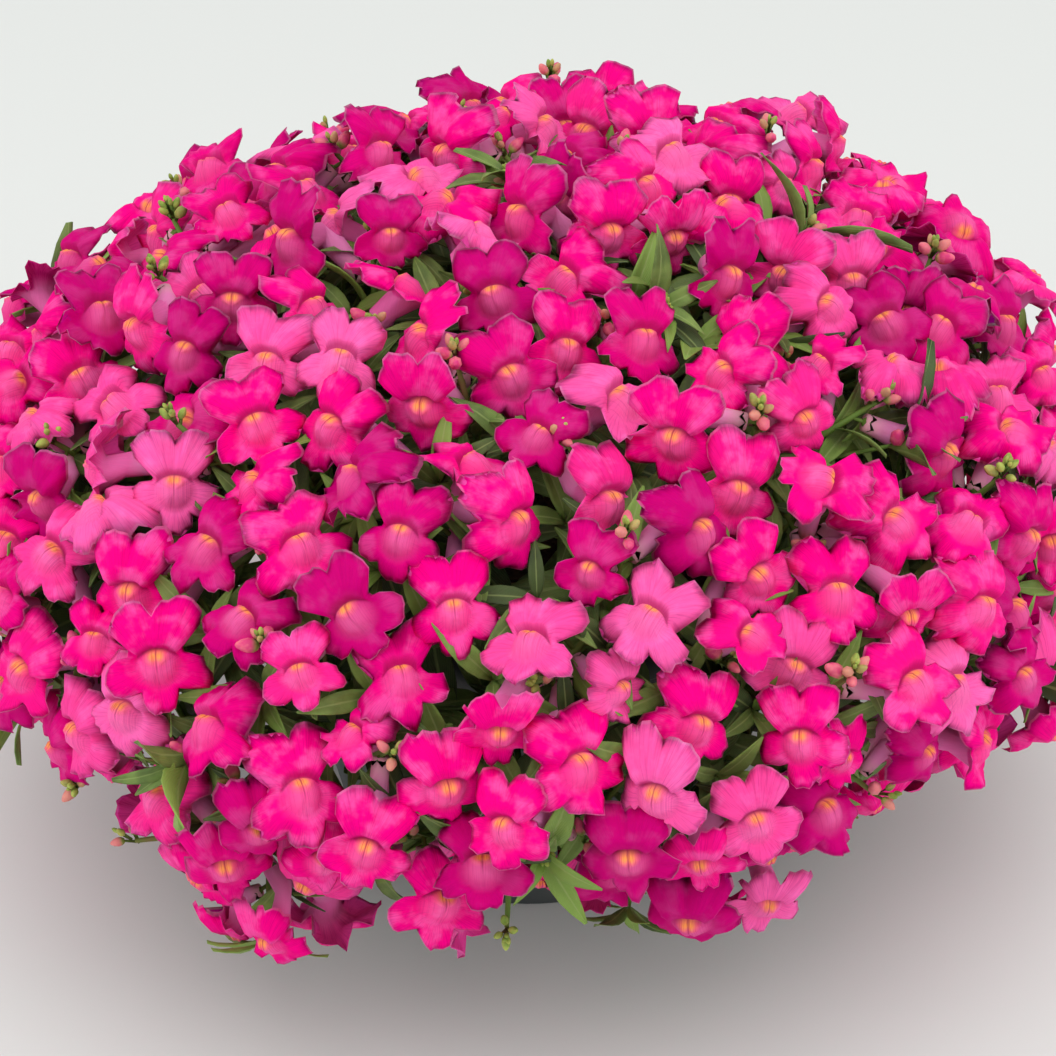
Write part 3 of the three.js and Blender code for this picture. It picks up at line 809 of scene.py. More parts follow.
petal, petal_shader = new_material(
    "velvety_snapdragon_petal",
    roughness=0.6,
    specular_ior_level=0.03,
    subsurface_weight=0.15,
    subsurface_radius=(1.0, 0.25, 0.5),
    subsurface_scale=0.002,
)
flower_uv = add(petal, "UVMap", uv_map="Flower")
flower_x = add(petal, "SeparateXYZ", flower_uv, out="X")
flower_z = add(petal, "SeparateXYZ", flower_uv, out="Y")
x_mm = add(petal, "Math", flower_x, FACE_WIDTH, -FACE_WIDTH / 2, operation="MULTIPLY_ADD")
z_mm = add(petal, "Math", flower_z, FACE_WIDTH, -FACE_WIDTH / 2, operation="MULTIPLY_ADD")
along = add(petal, "Attribute", attribute_name="along", out="Fac")
tint = add(petal, "Attribute", attribute_name="tint", out="Fac")
in_plant = add(petal, "TexCoord", out="Object")
print("petal nodes:", len(petal.node_tree.nodes))

# %% [markdown]
# The colour is laid down in layers, each a share and a colour over what is below. A lobe has paler clouds,
# and it deepens or fades with the bloom's age. Its fine veins fan out from the palate, so they follow the
# angle round it. A painted picture could show them too, but it would blur close up.

# %% Petal: lobes, their age, veins and a thin pale rim, partly painted highlight
VEINS_PER_RADIAN = 26
clouds = add(petal, "TexNoise", in_plant, per_metre(CLOUD_SIZE), 4)
cloud_share = add(petal, "MapRange", clouds, 0.46, 0.68, 0, 0.62, **SOFT)
lobes = add(petal, "Mix", cloud_share, HOT_PINK, LIGHT_PINK, **COLOUR)
deep_share = add(petal, "MapRange", tint, 0.05, 0.42, 0.72, 0, **SOFT)
faded_share = add(petal, "MapRange", tint, 0.74, 1, 0, 0.55, **SOFT)
z_from_palate = add(petal, "Math", z_mm, PALATE["z"], operation="SUBTRACT")
angle = add(petal, "Math", x_mm, z_from_palate, operation="ARCTAN2")
fanned = add(petal, "Math", angle, VEINS_PER_RADIAN, operation="MULTIPLY")
fan = add(petal, "CombineXYZ", fanned, along, tint)
veins = add(petal, "TexNoise", fan, 1.6, 3)
vein_share = add(petal, "MapRange", veins, 0.42, 0.7, 0, 0.3, **SOFT)
to_edge = add(petal, "Math", along, 1.985, operation="SUBTRACT")
from_edge = add(petal, "Math", to_edge, operation="ABSOLUTE")
# The thin pale rim is partly the petals' own paler margin and partly a painted highlight along their edge.
pale_rim_and_highlight_share = add(petal, "MapRange", from_edge, 0.012, 0.045, 0.24, 0, **SOFT)
for share, colour in (
    (deep_share, DEEP_PINK),
    (faded_share, FADED_PINK),
    (vein_share, DEEP_PINK),
    (pale_rim_and_highlight_share, RIM_PINK),
):
    lobes = add(petal, "Mix", share, lobes, colour, **COLOUR)
print("petal nodes:", len(petal.node_tree.nodes))

# %% [markdown]
# The palate guides the bees: it is paler on its swell, with fine streaks and two yellow spots where it meets
# the upper lip. The paler swell is partly its own tint and partly a painted highlight on its dome. Its groove
# and the crease under the upper lip are painted dark, as painted shade where little light gets in.

# %% Petal: the palate
STREAKS_PER_MM = 2.4
# Partly the palate's own paler tint and partly a painted highlight on its dome.
pale_swell_and_highlight = add(petal, "MapRange", along, 0.2, 1.3, 0.42, 0, **SOFT)
face = add(petal, "Mix", pale_swell_and_highlight, lobes, PALATE_PINK, **COLOUR)
streak_x = add(petal, "Math", x_mm, STREAKS_PER_MM, operation="MULTIPLY")
streak_place = add(petal, "CombineXYZ", streak_x, along, tint)
streaks = add(petal, "TexNoise", streak_place, 1, 2)
streak_share = add(petal, "MapRange", streaks, 0.48, 0.64, 0, 0.2, **SOFT)
on_palate = add(petal, "MapRange", along, 0.8, 1.05, 1, 0, **SOFT)
streak_share = add(petal, "Math", streak_share, on_palate, operation="MULTIPLY")
crease_way = add(petal, "Math", along, 1.02, operation="SUBTRACT")
from_crease = add(petal, "Math", crease_way, operation="ABSOLUTE")
# Painted shade: the crease round the palate, under the upper lip, is darkened where little light gets in.
painted_crease_shade_share = add(petal, "MapRange", from_crease, 0.02, 0.16, 0.6, 0, **SOFT)
above = add(petal, "MapRange", z_mm, -3, 0.5, 0, 1, **SOFT)
painted_crease_shade_share = add(petal, "Math", painted_crease_shade_share, above, operation="MULTIPLY")
half_x = add(petal, "Math", x_mm, operation="ABSOLUTE")
spot_x = add(petal, "Math", half_x, 0.3, -0.3, operation="MULTIPLY_ADD")
spot_z = add(petal, "Math", z_mm, 0.32, 0.2, operation="MULTIPLY_ADD")
spot_place = add(petal, "CombineXYZ", spot_x, spot_z)
from_spot = add(petal, "VectorMath", spot_place, operation="LENGTH", out="Value")
salmon_share = add(petal, "MapRange", from_spot, 0.1, 1.3, 0.7, 0, **SOFT)
yellow_share = add(petal, "MapRange", from_spot, 0.05, 0.65, 0.65, 0, **SOFT)
spots_on = add(petal, "MapRange", along, 0.9, 1.04, 1, 0, **SOFT)
salmon_share = add(petal, "Math", salmon_share, spots_on, operation="MULTIPLY")
yellow_share = add(petal, "Math", yellow_share, spots_on, operation="MULTIPLY")
throat_lines = add(petal, "Math", streak_share, salmon_share, operation="MULTIPLY")
throat_lines = add(petal, "Math", throat_lines, 3.5, operation="MULTIPLY")
# Painted shade: the palate's groove is darkened down its middle.
groove_line = add(petal, "MapRange", half_x, 0.05, 0.5, 0.5, 0, **SOFT)
groove_top = add(petal, "MapRange", z_mm, -8, -3, 0.1, 1, **SOFT)
painted_groove_shade_share = add(petal, "Math", groove_line, groove_top, operation="MULTIPLY")
painted_groove_shade_share = add(petal, "Math", painted_groove_shade_share, on_palate, operation="MULTIPLY")
for share, colour in (
    (streak_share, DEEP_PINK),
    (painted_crease_shade_share, PAINTED_CREASE_SHADE),
    (salmon_share, THROAT_SALMON),
    (yellow_share, THROAT_YELLOW),
    (throat_lines, THROAT_LINE),
    (painted_groove_shade_share, PAINTED_GROOVE_SHADE),
):
    face = add(petal, "Mix", share, face, colour, **COLOUR)
print("petal nodes:", len(petal.node_tree.nodes))

# %% [markdown]
# A petal's back is duller than its face, and the tube is paler still and greenish at the calyx. The relief of
# cells and veins is far too fine to model, so it only bends the light, as a bump.

# %% Petal: backs, tube and relief
back_veins = add(petal, "Math", vein_share, deep_share, operation="ADD")
backs = add(petal, "Mix", back_veins, BACK_PINK, DEEP_PINK, **COLOUR)
tube_share = add(petal, "MapRange", along, 2.7, 3.3, **SOFT)
backs = add(petal, "Mix", tube_share, backs, TUBE_PINK, **COLOUR)
green_share = add(petal, "MapRange", along, 3.5, 4, 0, 0.4, **SOFT)
backs = add(petal, "Mix", green_share, backs, CALYX_END, **COLOUR)
is_back = add(petal, "MapRange", along, 2.01, 2.05)
petal_colour = add(petal, "Mix", is_back, face, backs, **COLOUR)
cells = add(petal, "TexNoise", in_plant, per_metre(PETAL_CELL), 1)
relief = add(petal, "Math", vein_share, -2.2, cells, operation="MULTIPLY_ADD")
petal_bump = add(petal, "Bump", named={"Height": relief, "Strength": 0.25, "Distance": 0.0003})
finish(petal, petal_shader, base_color=petal_colour, normal=petal_bump)
print("petal nodes:", len(petal.node_tree.nodes))

# %% [markdown]
# Leaves are dark olive green with a waxy skin, a paler midrib and side veins that leave it at a slant. The
# youngest are yellower and the oldest dark grey-green, and the leaves deep inside get the same dark grey-green
# as painted shade. The UV map "Leaf" runs across the blade and from its base to its tip.

# %% Leaf
LEAF_PATCH = 11.11
SIDE_VEINS = 11  # about 3.6 mm apart on a leaf of 40 mm
leaf, leaf_shader = new_material(
    "waxy_snapdragon_leaf",
    specular_ior_level=0.3,
    subsurface_weight=0.1,
    subsurface_radius=(0.4, 1.0, 0.2),
    subsurface_scale=0.001,
)
leaf_uv = add(leaf, "UVMap", uv_map="Leaf")
leaf_across = add(leaf, "SeparateXYZ", leaf_uv, out="X")
leaf_along = add(leaf, "SeparateXYZ", leaf_uv, out="Y")
off_rib = add(leaf, "Math", leaf_across, 0.5, operation="SUBTRACT")
from_rib = add(leaf, "Math", off_rib, operation="ABSOLUTE")
youth = add(leaf, "Attribute", attribute_name="tint", out="Fac")
leaf_place = add(leaf, "TexCoord", out="Object")
patches = add(leaf, "TexNoise", leaf_place, per_metre(LEAF_PATCH), 4)
patch_share = add(leaf, "MapRange", patches, 0.35, 0.65, **SOFT)
blade = add(leaf, "Mix", patch_share, 0x5A7036, 0x80984E, **COLOUR)
young_share = add(leaf, "MapRange", youth, 0.55, 1, 0, 0.75, **SOFT)
# Dark grey-green for old leaves, and painted shade on the leaves deep inside.
grey_age_and_painted_shade = add(leaf, "MapRange", youth, 0, 0.4, 0.8, 0, **SOFT)
slant = add(leaf, "Math", from_rib, -1.4, leaf_along, operation="MULTIPLY_ADD")
turns = add(leaf, "Math", slant, 2 * math.pi * SIDE_VEINS, operation="MULTIPLY")
side_veins = add(leaf, "Math", turns, operation="SINE")
side_vein_share = add(leaf, "MapRange", side_veins, 0.7, 1, 0, 0.18, **SOFT)
rib_share = add(leaf, "MapRange", from_rib, 0.02, 0.07, 0.5, 0, **SOFT)
for share, colour in (
    (young_share, 0x88A84A),
    (grey_age_and_painted_shade, 0x2A3A24),
    (side_vein_share, 0x8A9A60),
    (rib_share, 0x9DAF6B),
):
    blade = add(leaf, "Mix", share, blade, colour, **COLOUR)
rib_relief = add(leaf, "MapRange", from_rib, 0, 0.1)
leaf_relief = add(leaf, "Math", side_veins, 0.25, rib_relief, operation="MULTIPLY_ADD")
leaf_bump = add(leaf, "Bump", named={"Height": leaf_relief, "Strength": 0.35, "Distance": 0.0006})
leaf_gloss = add(leaf, "MapRange", patches, 0.3, 0.7, 0.42, 0.6)
finish(leaf, leaf_shader, base_color=blade, roughness=leaf_gloss, normal=leaf_bump)
print("leaf nodes:", len(leaf.node_tree.nodes))

# %% [markdown]
# Stems, stalks and calyxes are softer green, flushed with red where the sun reaches them. Buds start out
# green and turn peach, then pink, from the tip down as they fill.

# %% Stem and bud
FLUSH_SIZE = 16.67
STEM_HAIR = 0.5556  # real hairs are 0.05 mm wide, which is too fine to show
BUD_MOTTLE = 3.333
stem, stem_shader = new_material("soft_green_stem", roughness=0.6, specular_ior_level=0.25)
stem_place = add(stem, "TexCoord", out="Object")
flush = add(stem, "TexNoise", stem_place, per_metre(FLUSH_SIZE), 3)
flush_share = add(stem, "MapRange", flush, 0.45, 0.78, 0, 0.7, **SOFT)
stem_colour = add(stem, "Mix", flush_share, 0x5E7A30, 0x80503C, **COLOUR)
stem_hairs = add(stem, "TexNoise", stem_place, per_metre(STEM_HAIR), 1)
stem_bump = add(stem, "Bump", named={"Height": stem_hairs, "Strength": 0.4, "Distance": 0.0003})
finish(stem, stem_shader, base_color=stem_colour, normal=stem_bump)

bud, bud_shader = new_material(
    "snapdragon_bud", roughness=0.55, specular_ior_level=0.2, subsurface_weight=0.15, subsurface_scale=0.002
)
bud_along = add(bud, "Attribute", attribute_name="along", out="Fac")
ripeness = add(bud, "Attribute", attribute_name="tint", out="Fac")
bud_place = add(bud, "TexCoord", out="Object")
bud_mottle = add(bud, "TexNoise", bud_place, per_metre(BUD_MOTTLE), 2)
bud_mottle_share = add(bud, "MapRange", bud_mottle, 0.35, 0.65, **SOFT)
bud_pink = add(bud, "Mix", bud_mottle_share, 0xD43A78, 0xE66E86, **COLOUR)
peach_share = add(bud, "MapRange", ripeness, 0.4, 0.75, 0.8, 0, **SOFT)
bud_pink = add(bud, "Mix", peach_share, bud_pink, 0xD98E80, **COLOUR)
bud_green = add(bud, "Mix", bud_mottle_share, 0x7C9440, 0xA9B45A, **COLOUR)
ripe_share = add(bud, "MapRange", ripeness, 0.25, 0.5, **SOFT)
tip_share = add(bud, "MapRange", bud_along, 0.1, 0.45, **SOFT)
filled = add(bud, "Math", ripe_share, tip_share, operation="MULTIPLY")
bud_colour = add(bud, "Mix", filled, bud_green, bud_pink, **COLOUR)
bud_bump = add(bud, "Bump", named={"Height": bud_mottle, "Strength": 0.3, "Distance": 0.0004})
finish(bud, bud_shader, base_color=bud_colour, normal=bud_bump)
print("stem and bud nodes:", len(stem.node_tree.nodes), len(bud.node_tree.nodes))

# %% [markdown]
# The pot is injection-moulded polypropylene, near black, with a faint grain and a film of dust from the
# potting bench. The potting soil is dark peat with fibres and a few white grains of perlite.

# %% Pot and soil finishes
DUST_SIZE = 40
PLASTIC_GRAIN = 0.8333
PEAT_LUMP = 4.545
GRAIN_SPACING = 6.25  # about one grain in four is perlite
plastic, plastic_shader = new_material("moulded_polypropylene")
plastic_place = add(plastic, "TexCoord", out="Object")
dust = add(plastic, "TexNoise", plastic_place, per_metre(DUST_SIZE), 6)
grain = add(plastic, "TexNoise", plastic_place, per_metre(PLASTIC_GRAIN), 2)
dust_share = add(plastic, "MapRange", dust, 0.4, 0.8, 0, 0.3, **SOFT)
plastic_colour = add(plastic, "Mix", dust_share, 0x3A4143, 0x7A7B74, **COLOUR)
plastic_gloss = add(plastic, "MapRange", dust, 0.3, 0.8, 0.38, 0.6)
plastic_bump = add(plastic, "Bump", named={"Height": grain, "Strength": 0.15, "Distance": 0.0002})
finish(plastic, plastic_shader, base_color=plastic_colour, roughness=plastic_gloss, normal=plastic_bump)

peat, peat_shader = new_material("moist_peat_with_perlite", roughness=0.95)
peat_place = add(peat, "TexCoord", out="Object")
lumps = add(peat, "TexNoise", peat_place, per_metre(PEAT_LUMP), 8)
lump_share = add(peat, "MapRange", lumps, 0.35, 0.7, **SOFT)
peat_colour = add(peat, "Mix", lump_share, 0x1F140D, 0x5A412C, **COLOUR)
grain_reach = add(peat, "TexVoronoi", peat_place, per_metre(GRAIN_SPACING))
grain_draw = add(peat, "TexVoronoi", peat_place, per_metre(GRAIN_SPACING), out="Color")
grain_share = add(peat, "MapRange", grain_reach, 0.2, 0.3, 1, 0)
is_perlite = add(peat, "MapRange", grain_draw, 0.72, 0.78)
perlite_share = add(peat, "Math", grain_share, is_perlite, operation="MULTIPLY")
peat_colour = add(peat, "Mix", perlite_share, peat_colour, 0xD9D6CC, **COLOUR)
peat_bump = add(peat, "Bump", named={"Height": lumps, "Strength": 0.9, "Distance": 0.002})
finish(peat, peat_shader, base_color=peat_colour, normal=peat_bump)
print("pot and soil nodes:", len(plastic.node_tree.nodes), len(peat.node_tree.nodes))

# %% [markdown]
# ## Leafy stems
# Seven stems lean out from a ring of holes in the soil, and one stands in the middle. Each one branches into
# the shoots that carry its sprays, and into twigs that end in leafy tips between the blooms. A shoot is a
# smooth curve through a few points. It passes near its points at an even pace, so that it never loops.

# %% A smooth curve through points


def on_curve(points, t):
    last = len(points) - 1
    i = min(int(t * last), last - 1)
    w = t * last - i
    p1, p2 = points[i], points[i + 1]
    p0 = points[i - 1] if i else p1 * 2 - p2
    p3 = points[i + 2] if i + 2 <= last else p2 * 2 - p1
    d1 = math.sqrt((p2 - p1).length)
    d0 = math.sqrt((p1 - p0).length)
    d2 = math.sqrt((p3 - p2).length)
    t1 = ((p1 - p0) / d0 - (p2 - p0) / (d0 + d1) + (p2 - p1) / d1) * d1
    t2 = ((p2 - p1) / d1 - (p3 - p1) / (d1 + d2) + (p3 - p2) / d2) * d1
    c2 = (p2 - p1) * 3 - t1 * 2 - t2
    c3 = (p1 - p2) * 2 + t1 + t2
    return p1 + t1 * w + c2 * (w * w) + c3 * (w * w * w)


def evenly(points, steps):
    samples = [on_curve(points, i / 200) for i in range(201)]
    lengths = [0]
    for a, b in zip(samples, samples[1:]):
        lengths.append(lengths[-1] + (b - a).length)
    path = [points[0]]
    for n in range(1, steps):
        wanted = lengths[-1] * n / steps
        i = max(k for k in range(200) if lengths[k] < wanted)
        share = (wanted - lengths[i]) / (lengths[i + 1] - lengths[i])
        path.append(on_curve(points, (i + share) / 200))
    return path + [points[-1]]


print("a curve's middle:", [round(c, 1) for c in evenly([Vector(), UP * 10, AHEAD * 10], 2)[1]])


# %% [markdown]
# A side stem rises and leans out, and a shoot to a low spray arches over the pot's rim. Each shoot's way was
# swayed a little until it was clear of the rest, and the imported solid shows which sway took.

# %% Where each stem stands, and the way of its shoots
GAP = 0.3
SIDE_STEMS = 7
TOP_ANGLE = 27
SOIL = {"top": 124, "crown": 4, "hole_depth": 18}
STEM = {"radius": 2.9, "ring": 42, "collar": 6, "lean_radius": 60, "lean_height": 156, "middle_height": 165}
OVER_RIM = {"radius": 122, "height": 166, "below": 140}
SHOOT_RADIUS = 1.8
TWIG = {"radius": 1.4, "depth": 14}
SWAY = 2.5
LEAF_TURN = 2.4  # from one leaf to the next and from one sway to the next, in radians


def stem_of(spray):
    if math.degrees(math.acos(spray["axis"].z)) < TOP_ANGLE:
        return SIDE_STEMS
    return int(spray["azimuth"] / (2 * math.pi) % 1 * SIDE_STEMS)


def stem_place(g):
    middle = g == SIDE_STEMS
    out = Vector() if middle else outwards((g + 0.5) / SIDE_STEMS * 2 * math.pi)
    lean_height = STEM["middle_height"] if middle else STEM["lean_height"]
    hole = UP * (SOIL["top"] + SOIL["crown"]) + out * STEM["ring"]
    return hole, UP * lean_height + out * STEM["lean_radius"], out


def way_to(spray, start, sway):
    end = spray["foot"] - spray["axis"] * GAP
    before = end - spray["axis"] * 7
    bend = UP * OVER_RIM["height"] + outwards(spray["azimuth"]) * OVER_RIM["radius"]
    middle = bend if before.z < OVER_RIM["below"] else start[-1].lerp(before, 0.5) + UP * 5
    return [*start, middle + sway, before, end]


def sway_of(axis, attempt):
    return turned(sides_of(axis), LEAF_TURN * attempt) * (SWAY * attempt)


def ring_corner(path, radius, k):
    """The first corner of a packed shoot's ring at point k of its path."""
    side = sides_of((path[1] - path[0]).normalized())[0]
    for i in range(1, k + 1):
        along = (path[min(i + 1, len(path) - 1)] - path[i - 1]).normalized()
        side = square_to(along, side)
    return path[k] + side * radius


print("a side stem's hole:", [round(c) for c in stem_place(0)[0]])

# %% [markdown]
# The larger leaves stand on the shoots, turned from one to the next. They are found again in the same way as
# the blooms. A stem's leaves share one stream of draws, so a leaf that never fitted has to be counted too.

# %% Finding the larger leaves again
LEAF_TRY_TURN = 0.7
LEAF = {"length": 40, "width": 10.5, "droop": 5}


def leaf_on(path, share, angle, length_draw):
    step = min(len(path) - 2, int(share * (len(path) - 1)))
    stem_way = (path[step + 1] - path[step]).normalized()
    base = path[step].lerp(path[step + 1], share * (len(path) - 1) - step)
    along = (turned(sides_of(stem_way), angle) * 0.75 + stem_way * 0.65).normalized()
    return {
        "base": base,
        "along": along,
        "upper": square_to(along, stem_way),
        "length": LEAF["length"] * (0.75 + 0.4 * length_draw),
    }


def leaf_tip(leaf):
    return leaf["base"] + leaf["along"] * leaf["length"] - leaf["upper"] * LEAF["droop"]


def find_leaves(wanted, tree, draw):
    """Finds the try at which each leaf grew. A leaf that never fitted used up all its draws."""
    draws = [draw() for _ in range(len(wanted) * TRIES)]
    used, found = 0, []
    for i, (share, path) in enumerate(wanted):
        tries = [(skip, attempt) for skip in range(TRIES + 1) for attempt in range(TRIES)]
        for skip, attempt in tries:
            n = used + attempt - skip
            if not 0 <= n < len(draws):
                continue
            leaf = leaf_on(path, share, LEAF_TURN * i + LEAF_TRY_TURN * attempt, draws[n])
            if is_there(tree, leaf_tip(leaf)):
                found.append(leaf)
                used = n + 1
                break
        else:
            used += TRIES
    return found


print("a leaf is up to", round(leaf_on([Vector(), UP * 10], 0.5, 0, 1)["length"]), "mm long")


# %% [markdown]
# Now the stems grow again, each with its shoots, the twigs to its leafy tips and its leaves. The first shoot
# carries on the stem itself, and the others spring from it.

# %% Growing the stems again
SHOOT_LEAVES, TWIG_LEAVES = [0.8, 0.97], [0.6, 0.97, 0.97]
stems = []
for g in range(SIDE_STEMS + 1):
    hole, lean, out = stem_place(g)
    tree = corners_of(f"leafy_stem_{g + 1:02d}")
    ahead = out + UP * (1 if g == SIDE_STEMS else 0.6)
    own = sorted((s for s in sprays if stem_of(s) == g), key=lambda s: -s["axis"].dot(ahead))
    collar = hole + UP * (STEM["collar"] + GAP)
    shoots, twigs, wanted = [], [], []
    for i, spray in enumerate(own):
        start = [shoots[0]["path"][1 + i % 2]] if i else [collar - UP * 4, lean]
        steps, radius = (3, SHOOT_RADIUS) if i else (4, SHOOT_RADIUS * 1.3)
        ways = [way_to(spray, start, sway_of(spray["axis"], attempt)) for attempt in range(TRIES)]
        paths = [evenly(way, steps) for way in ways]
        fits = [n for n in range(TRIES) if is_there(tree, ring_corner(paths[n], radius, 1))] or [0]
        shoots.append({"path": paths[fits[0]], "smooth": evenly(ways[fits[0]], 10), "radius": radius})
        wanted += [(share, paths[fits[0]]) for share in SHOOT_LEAVES]
        for tip in spray["tips"]:
            springs = paths[fits[0]][-2].lerp(paths[fits[0]][-1], 0.8)
            for attempt in range(TRIES):
                end = tip["surface"] - tip["normal"] * TWIG["depth"] + sway_of(tip["normal"], attempt)
                twig_path = [springs, springs.lerp(end, 0.3), end]
                if is_there(tree, ring_corner(twig_path, TWIG["radius"], 1)):
                    twigs.append(twig_path)
                    wanted += [(share, [springs, end]) for share in TWIG_LEAVES]
                    break
    leaves = find_leaves(wanted, tree, stream(SEEDS["stem"] + g))
    stems.append({"sprays": own, "shoots": shoots, "twigs": twigs, "leaves": leaves, "hole": hole})
    print(f"stem {g + 1}: {len(shoots)} shoots, {len(twigs)} twigs, {len(leaves)} of {len(wanted)} leaves")

# %% [markdown]
# ## More of the plant
# The solids hold nine in ten of the plant's blooms, and far fewer of its leaves. Smaller and younger blooms
# stand a little deeper, in the gaps. They are set in the same way, on the stalk of the nearest spray, at
# every place that is far enough from the blooms around it.

# %% Younger blooms in between
FILL = {"lowest": -20, "lower_on_bulges": 400}  # degrees of latitude
YOUNG = {"tries": 2600, "apart": 22.2, "depth": 2, "deeper": 13, "size": 0.78, "larger": 0.18}


def too_low(place, lower=0):
    """Low down the mound is only full where it bulges, and ends raggedly between."""
    bulge = reach_at(place["azimuth"], place["latitude"]) - 1
    return math.degrees(place["latitude"]) < FILL["lowest"] - FILL["lower_on_bulges"] * bulge - lower


faces = [bloom["face"] for spray in sprays for bloom in spray["blooms"]]
faces += [tip["surface"] - tip["normal"] * 8 for spray in sprays for tip in spray["tips"]]
packed_blooms = len(faces)
for k in range(YOUNG["tries"]):
    draw = stream(SEEDS["detail"] + k)
    place = surface_at(k * GOLDEN_ANGLE + 1.3, latitude_of((k + 0.5) / YOUNG["tries"]))
    face_at = place["surface"] - place["normal"] * (YOUNG["depth"] + YOUNG["deeper"] * draw())
    if too_low(place) or min((face_at - other).length for other in faces) < YOUNG["apart"]:
        continue
    spray = max(sprays, key=lambda s: s["axis"].dot(place["arm"]))
    bloom = bloom_at({**spray, "roots": []}, place, draw, 0)
    bloom.update(face=face_at, size=YOUNG["size"] + YOUNG["larger"] * draw())
    turn_to_light(bloom, place)
    spray["blooms"].append(bloom)
    faces.append(face_at)
print("younger blooms:", len(faces) - packed_blooms)

# %% [markdown]
# Most leaves sit in the shade under the blooms, in whorls on the stalks and on short side twigs. The leaves
# of a whorl follow the golden angle as well, and lean out from the stalk by draws of their own.

# %% A whorl of leaves


def share_out(point):
    """How far out a point is: 0 in the middle of the mound, 1 at its surface."""
    arm = point - UP * MOUND["centre_z"]
    out, rise = arm.xy.length / MOUND["radius"], arm.z / half_height(arm.z)
    reach = reach_at(math.atan2(arm.x, -arm.y), math.atan2(rise, out))
    return math.hypot(out, rise) / reach


def whorl(base, facing, count, draw, length, longer, spread=(0.75, 1.25), within=0.98):
    """Grows leaves round a stalk. One that would stick out of the mound is left out."""
    sides = sides_of(facing)
    turn = draw() * 2 * math.pi
    leaves = []
    for n in range(count):
        tilt = spread[0] + (spread[1] - spread[0]) * draw()
        side = turned(sides, turn + n * GOLDEN_ANGLE)
        along = facing * math.cos(tilt) + side * math.sin(tilt)
        upper = square_to(along, facing)
        leaf = {"base": base, "along": along, "upper": upper, "length": length + longer * draw()}
        if share_out(leaf_tip(leaf)) < within:
            leaves.append(leaf)
    return leaves


print("the mound's top is out by a share of", round(share_out(surface_at(0, math.pi / 2)["surface"]), 2))


# %% [markdown]
# A side twig starts from the nearest stalk or shoot, which a tree of points along them finds fast, and sags a
# little on its way.

# %% Side twigs
bearers = []
for g, stem_parts in enumerate(stems):
    stem_parts.update(side_twigs=[], more_leaves=[])
    for spray in stem_parts["sprays"]:
        for start, tip in spray["stalks"]:
            bearers += [(start.lerp(tip, share / 8), g) for share in range(9)]
    for shoot in stem_parts["shoots"]:
        bearers += [(point, g) for point in shoot["smooth"][3:]]
bearer_tree = KDTree(len(bearers))
for i, (point, g) in enumerate(bearers):
    bearer_tree.insert(point, i)
bearer_tree.balance()


TWIG_SAG = 0.15


def leafy_twig(end, facing, draw, kind, spread=(0.75, 1.25)):
    """Grows a twig from the nearest stalk or shoot to a whorl of leaves at its end."""
    springs, i, away = bearer_tree.find(end - facing * 10)
    stem_parts = stems[bearers[i][1]]
    if away > 4:
        middle = springs.lerp(end, 0.5) - facing * (TWIG_SAG * away)
        stem_parts["side_twigs"].append(([springs, middle, end], [1.0, 0.9, 0.6]))
    grown = whorl(end, facing, kind["leaves"], draw, kind["length"], kind["longer"], spread)
    stem_parts["more_leaves"] += [{**leaf, "youth": kind["youth"]} for leaf in grown]


print("points that can bear a twig:", len(bearers))


# %% [markdown]
# A twig ends in a whorl just under the blooms, where leaves show in the gaps, or in one deeper inside, whose
# leaves are painted dark grey-green as painted shade.

# %% Whorls under the blooms
WHORL = {
    "tries": 330,
    "apart": 17,
    "depth": 22,
    "deeper": 14,
    "lower": 60,
    "leaves": 4,
    "length": 20,
    "longer": 13,
    "youth": 1,
}

whorl_places = []
for k in range(WHORL["tries"]):
    draw = stream(SEEDS["detail"] + 10000 + k)
    place = surface_at(k * GOLDEN_ANGLE + 2.1, latitude_of((k + 0.5) / WHORL["tries"]))
    normal = place["normal"]
    end = place["surface"] - normal * (WHORL["depth"] + WHORL["deeper"] * draw())
    crowded = whorl_places and min((end - other).length for other in whorl_places) < WHORL["apart"]
    if crowded or too_low(place, WHORL["lower"]):
        continue
    leafy_twig(end, normal, draw, WHORL)
    whorl_places.append(end)
print("whorls:", len(whorl_places))

# The inner leaves' low value here paints them dark grey-green, as painted shade deep in the mound.
INNER = {"tries": 250, "depths": (46, 84), "leaves": 3, "length": 36, "longer": 12, "youth": 0.4}
for k in range(INNER["tries"]):
    draw = stream(SEEDS["detail"] + 15000 + k)
    place = surface_at(k * GOLDEN_ANGLE + 0.7, latitude_of((k + 0.5) / INNER["tries"]))
    end = place["surface"] - place["normal"] * INNER["depths"][k % 2]
    leafy_twig(end, place["normal"], draw, INNER, (1.0, 1.5))

# %% [markdown]
# The stalks carry leaves below their blooms as well, the leafy tips end in a tuft of young ones, and stalks
# that hang low end in leaves too. These ways are known already, so no search is needed.

# %% Whorls on the stalks and at the leafy tips
LOW_TIP = 78  # a stalk that hangs below this has leaves in place of buds
LOW_END = 0.8
for g, stem_parts in enumerate(stems):
    draw = stream(SEEDS["detail"] + 20000 + g)
    for spray in stem_parts["sprays"]:
        for start, tip in spray["stalks"]:
            way = (tip - start).normalized()
            for share in (0.2, 0.6):
                stem_parts["more_leaves"] += whorl(start.lerp(tip, share), way, 2, draw, 22, 12, (0.6, 1.1))
            if tip.z < LOW_TIP:
                end = start.lerp(tip, LOW_END)
                stem_parts["more_leaves"] += whorl(end, way, 7, draw, 18, 10, (0.7, 1.5), 1.1)
    for twig_path in stem_parts["twigs"]:
        way = (twig_path[-1] - twig_path[0]).normalized()
        stem_parts["more_leaves"] += whorl(twig_path[-1], way, 5, draw, 20, 12, (0.25, 0.8), 1.03)
print("leaves:", sum(len(s["leaves"]) + len(s["more_leaves"]) for s in stems))

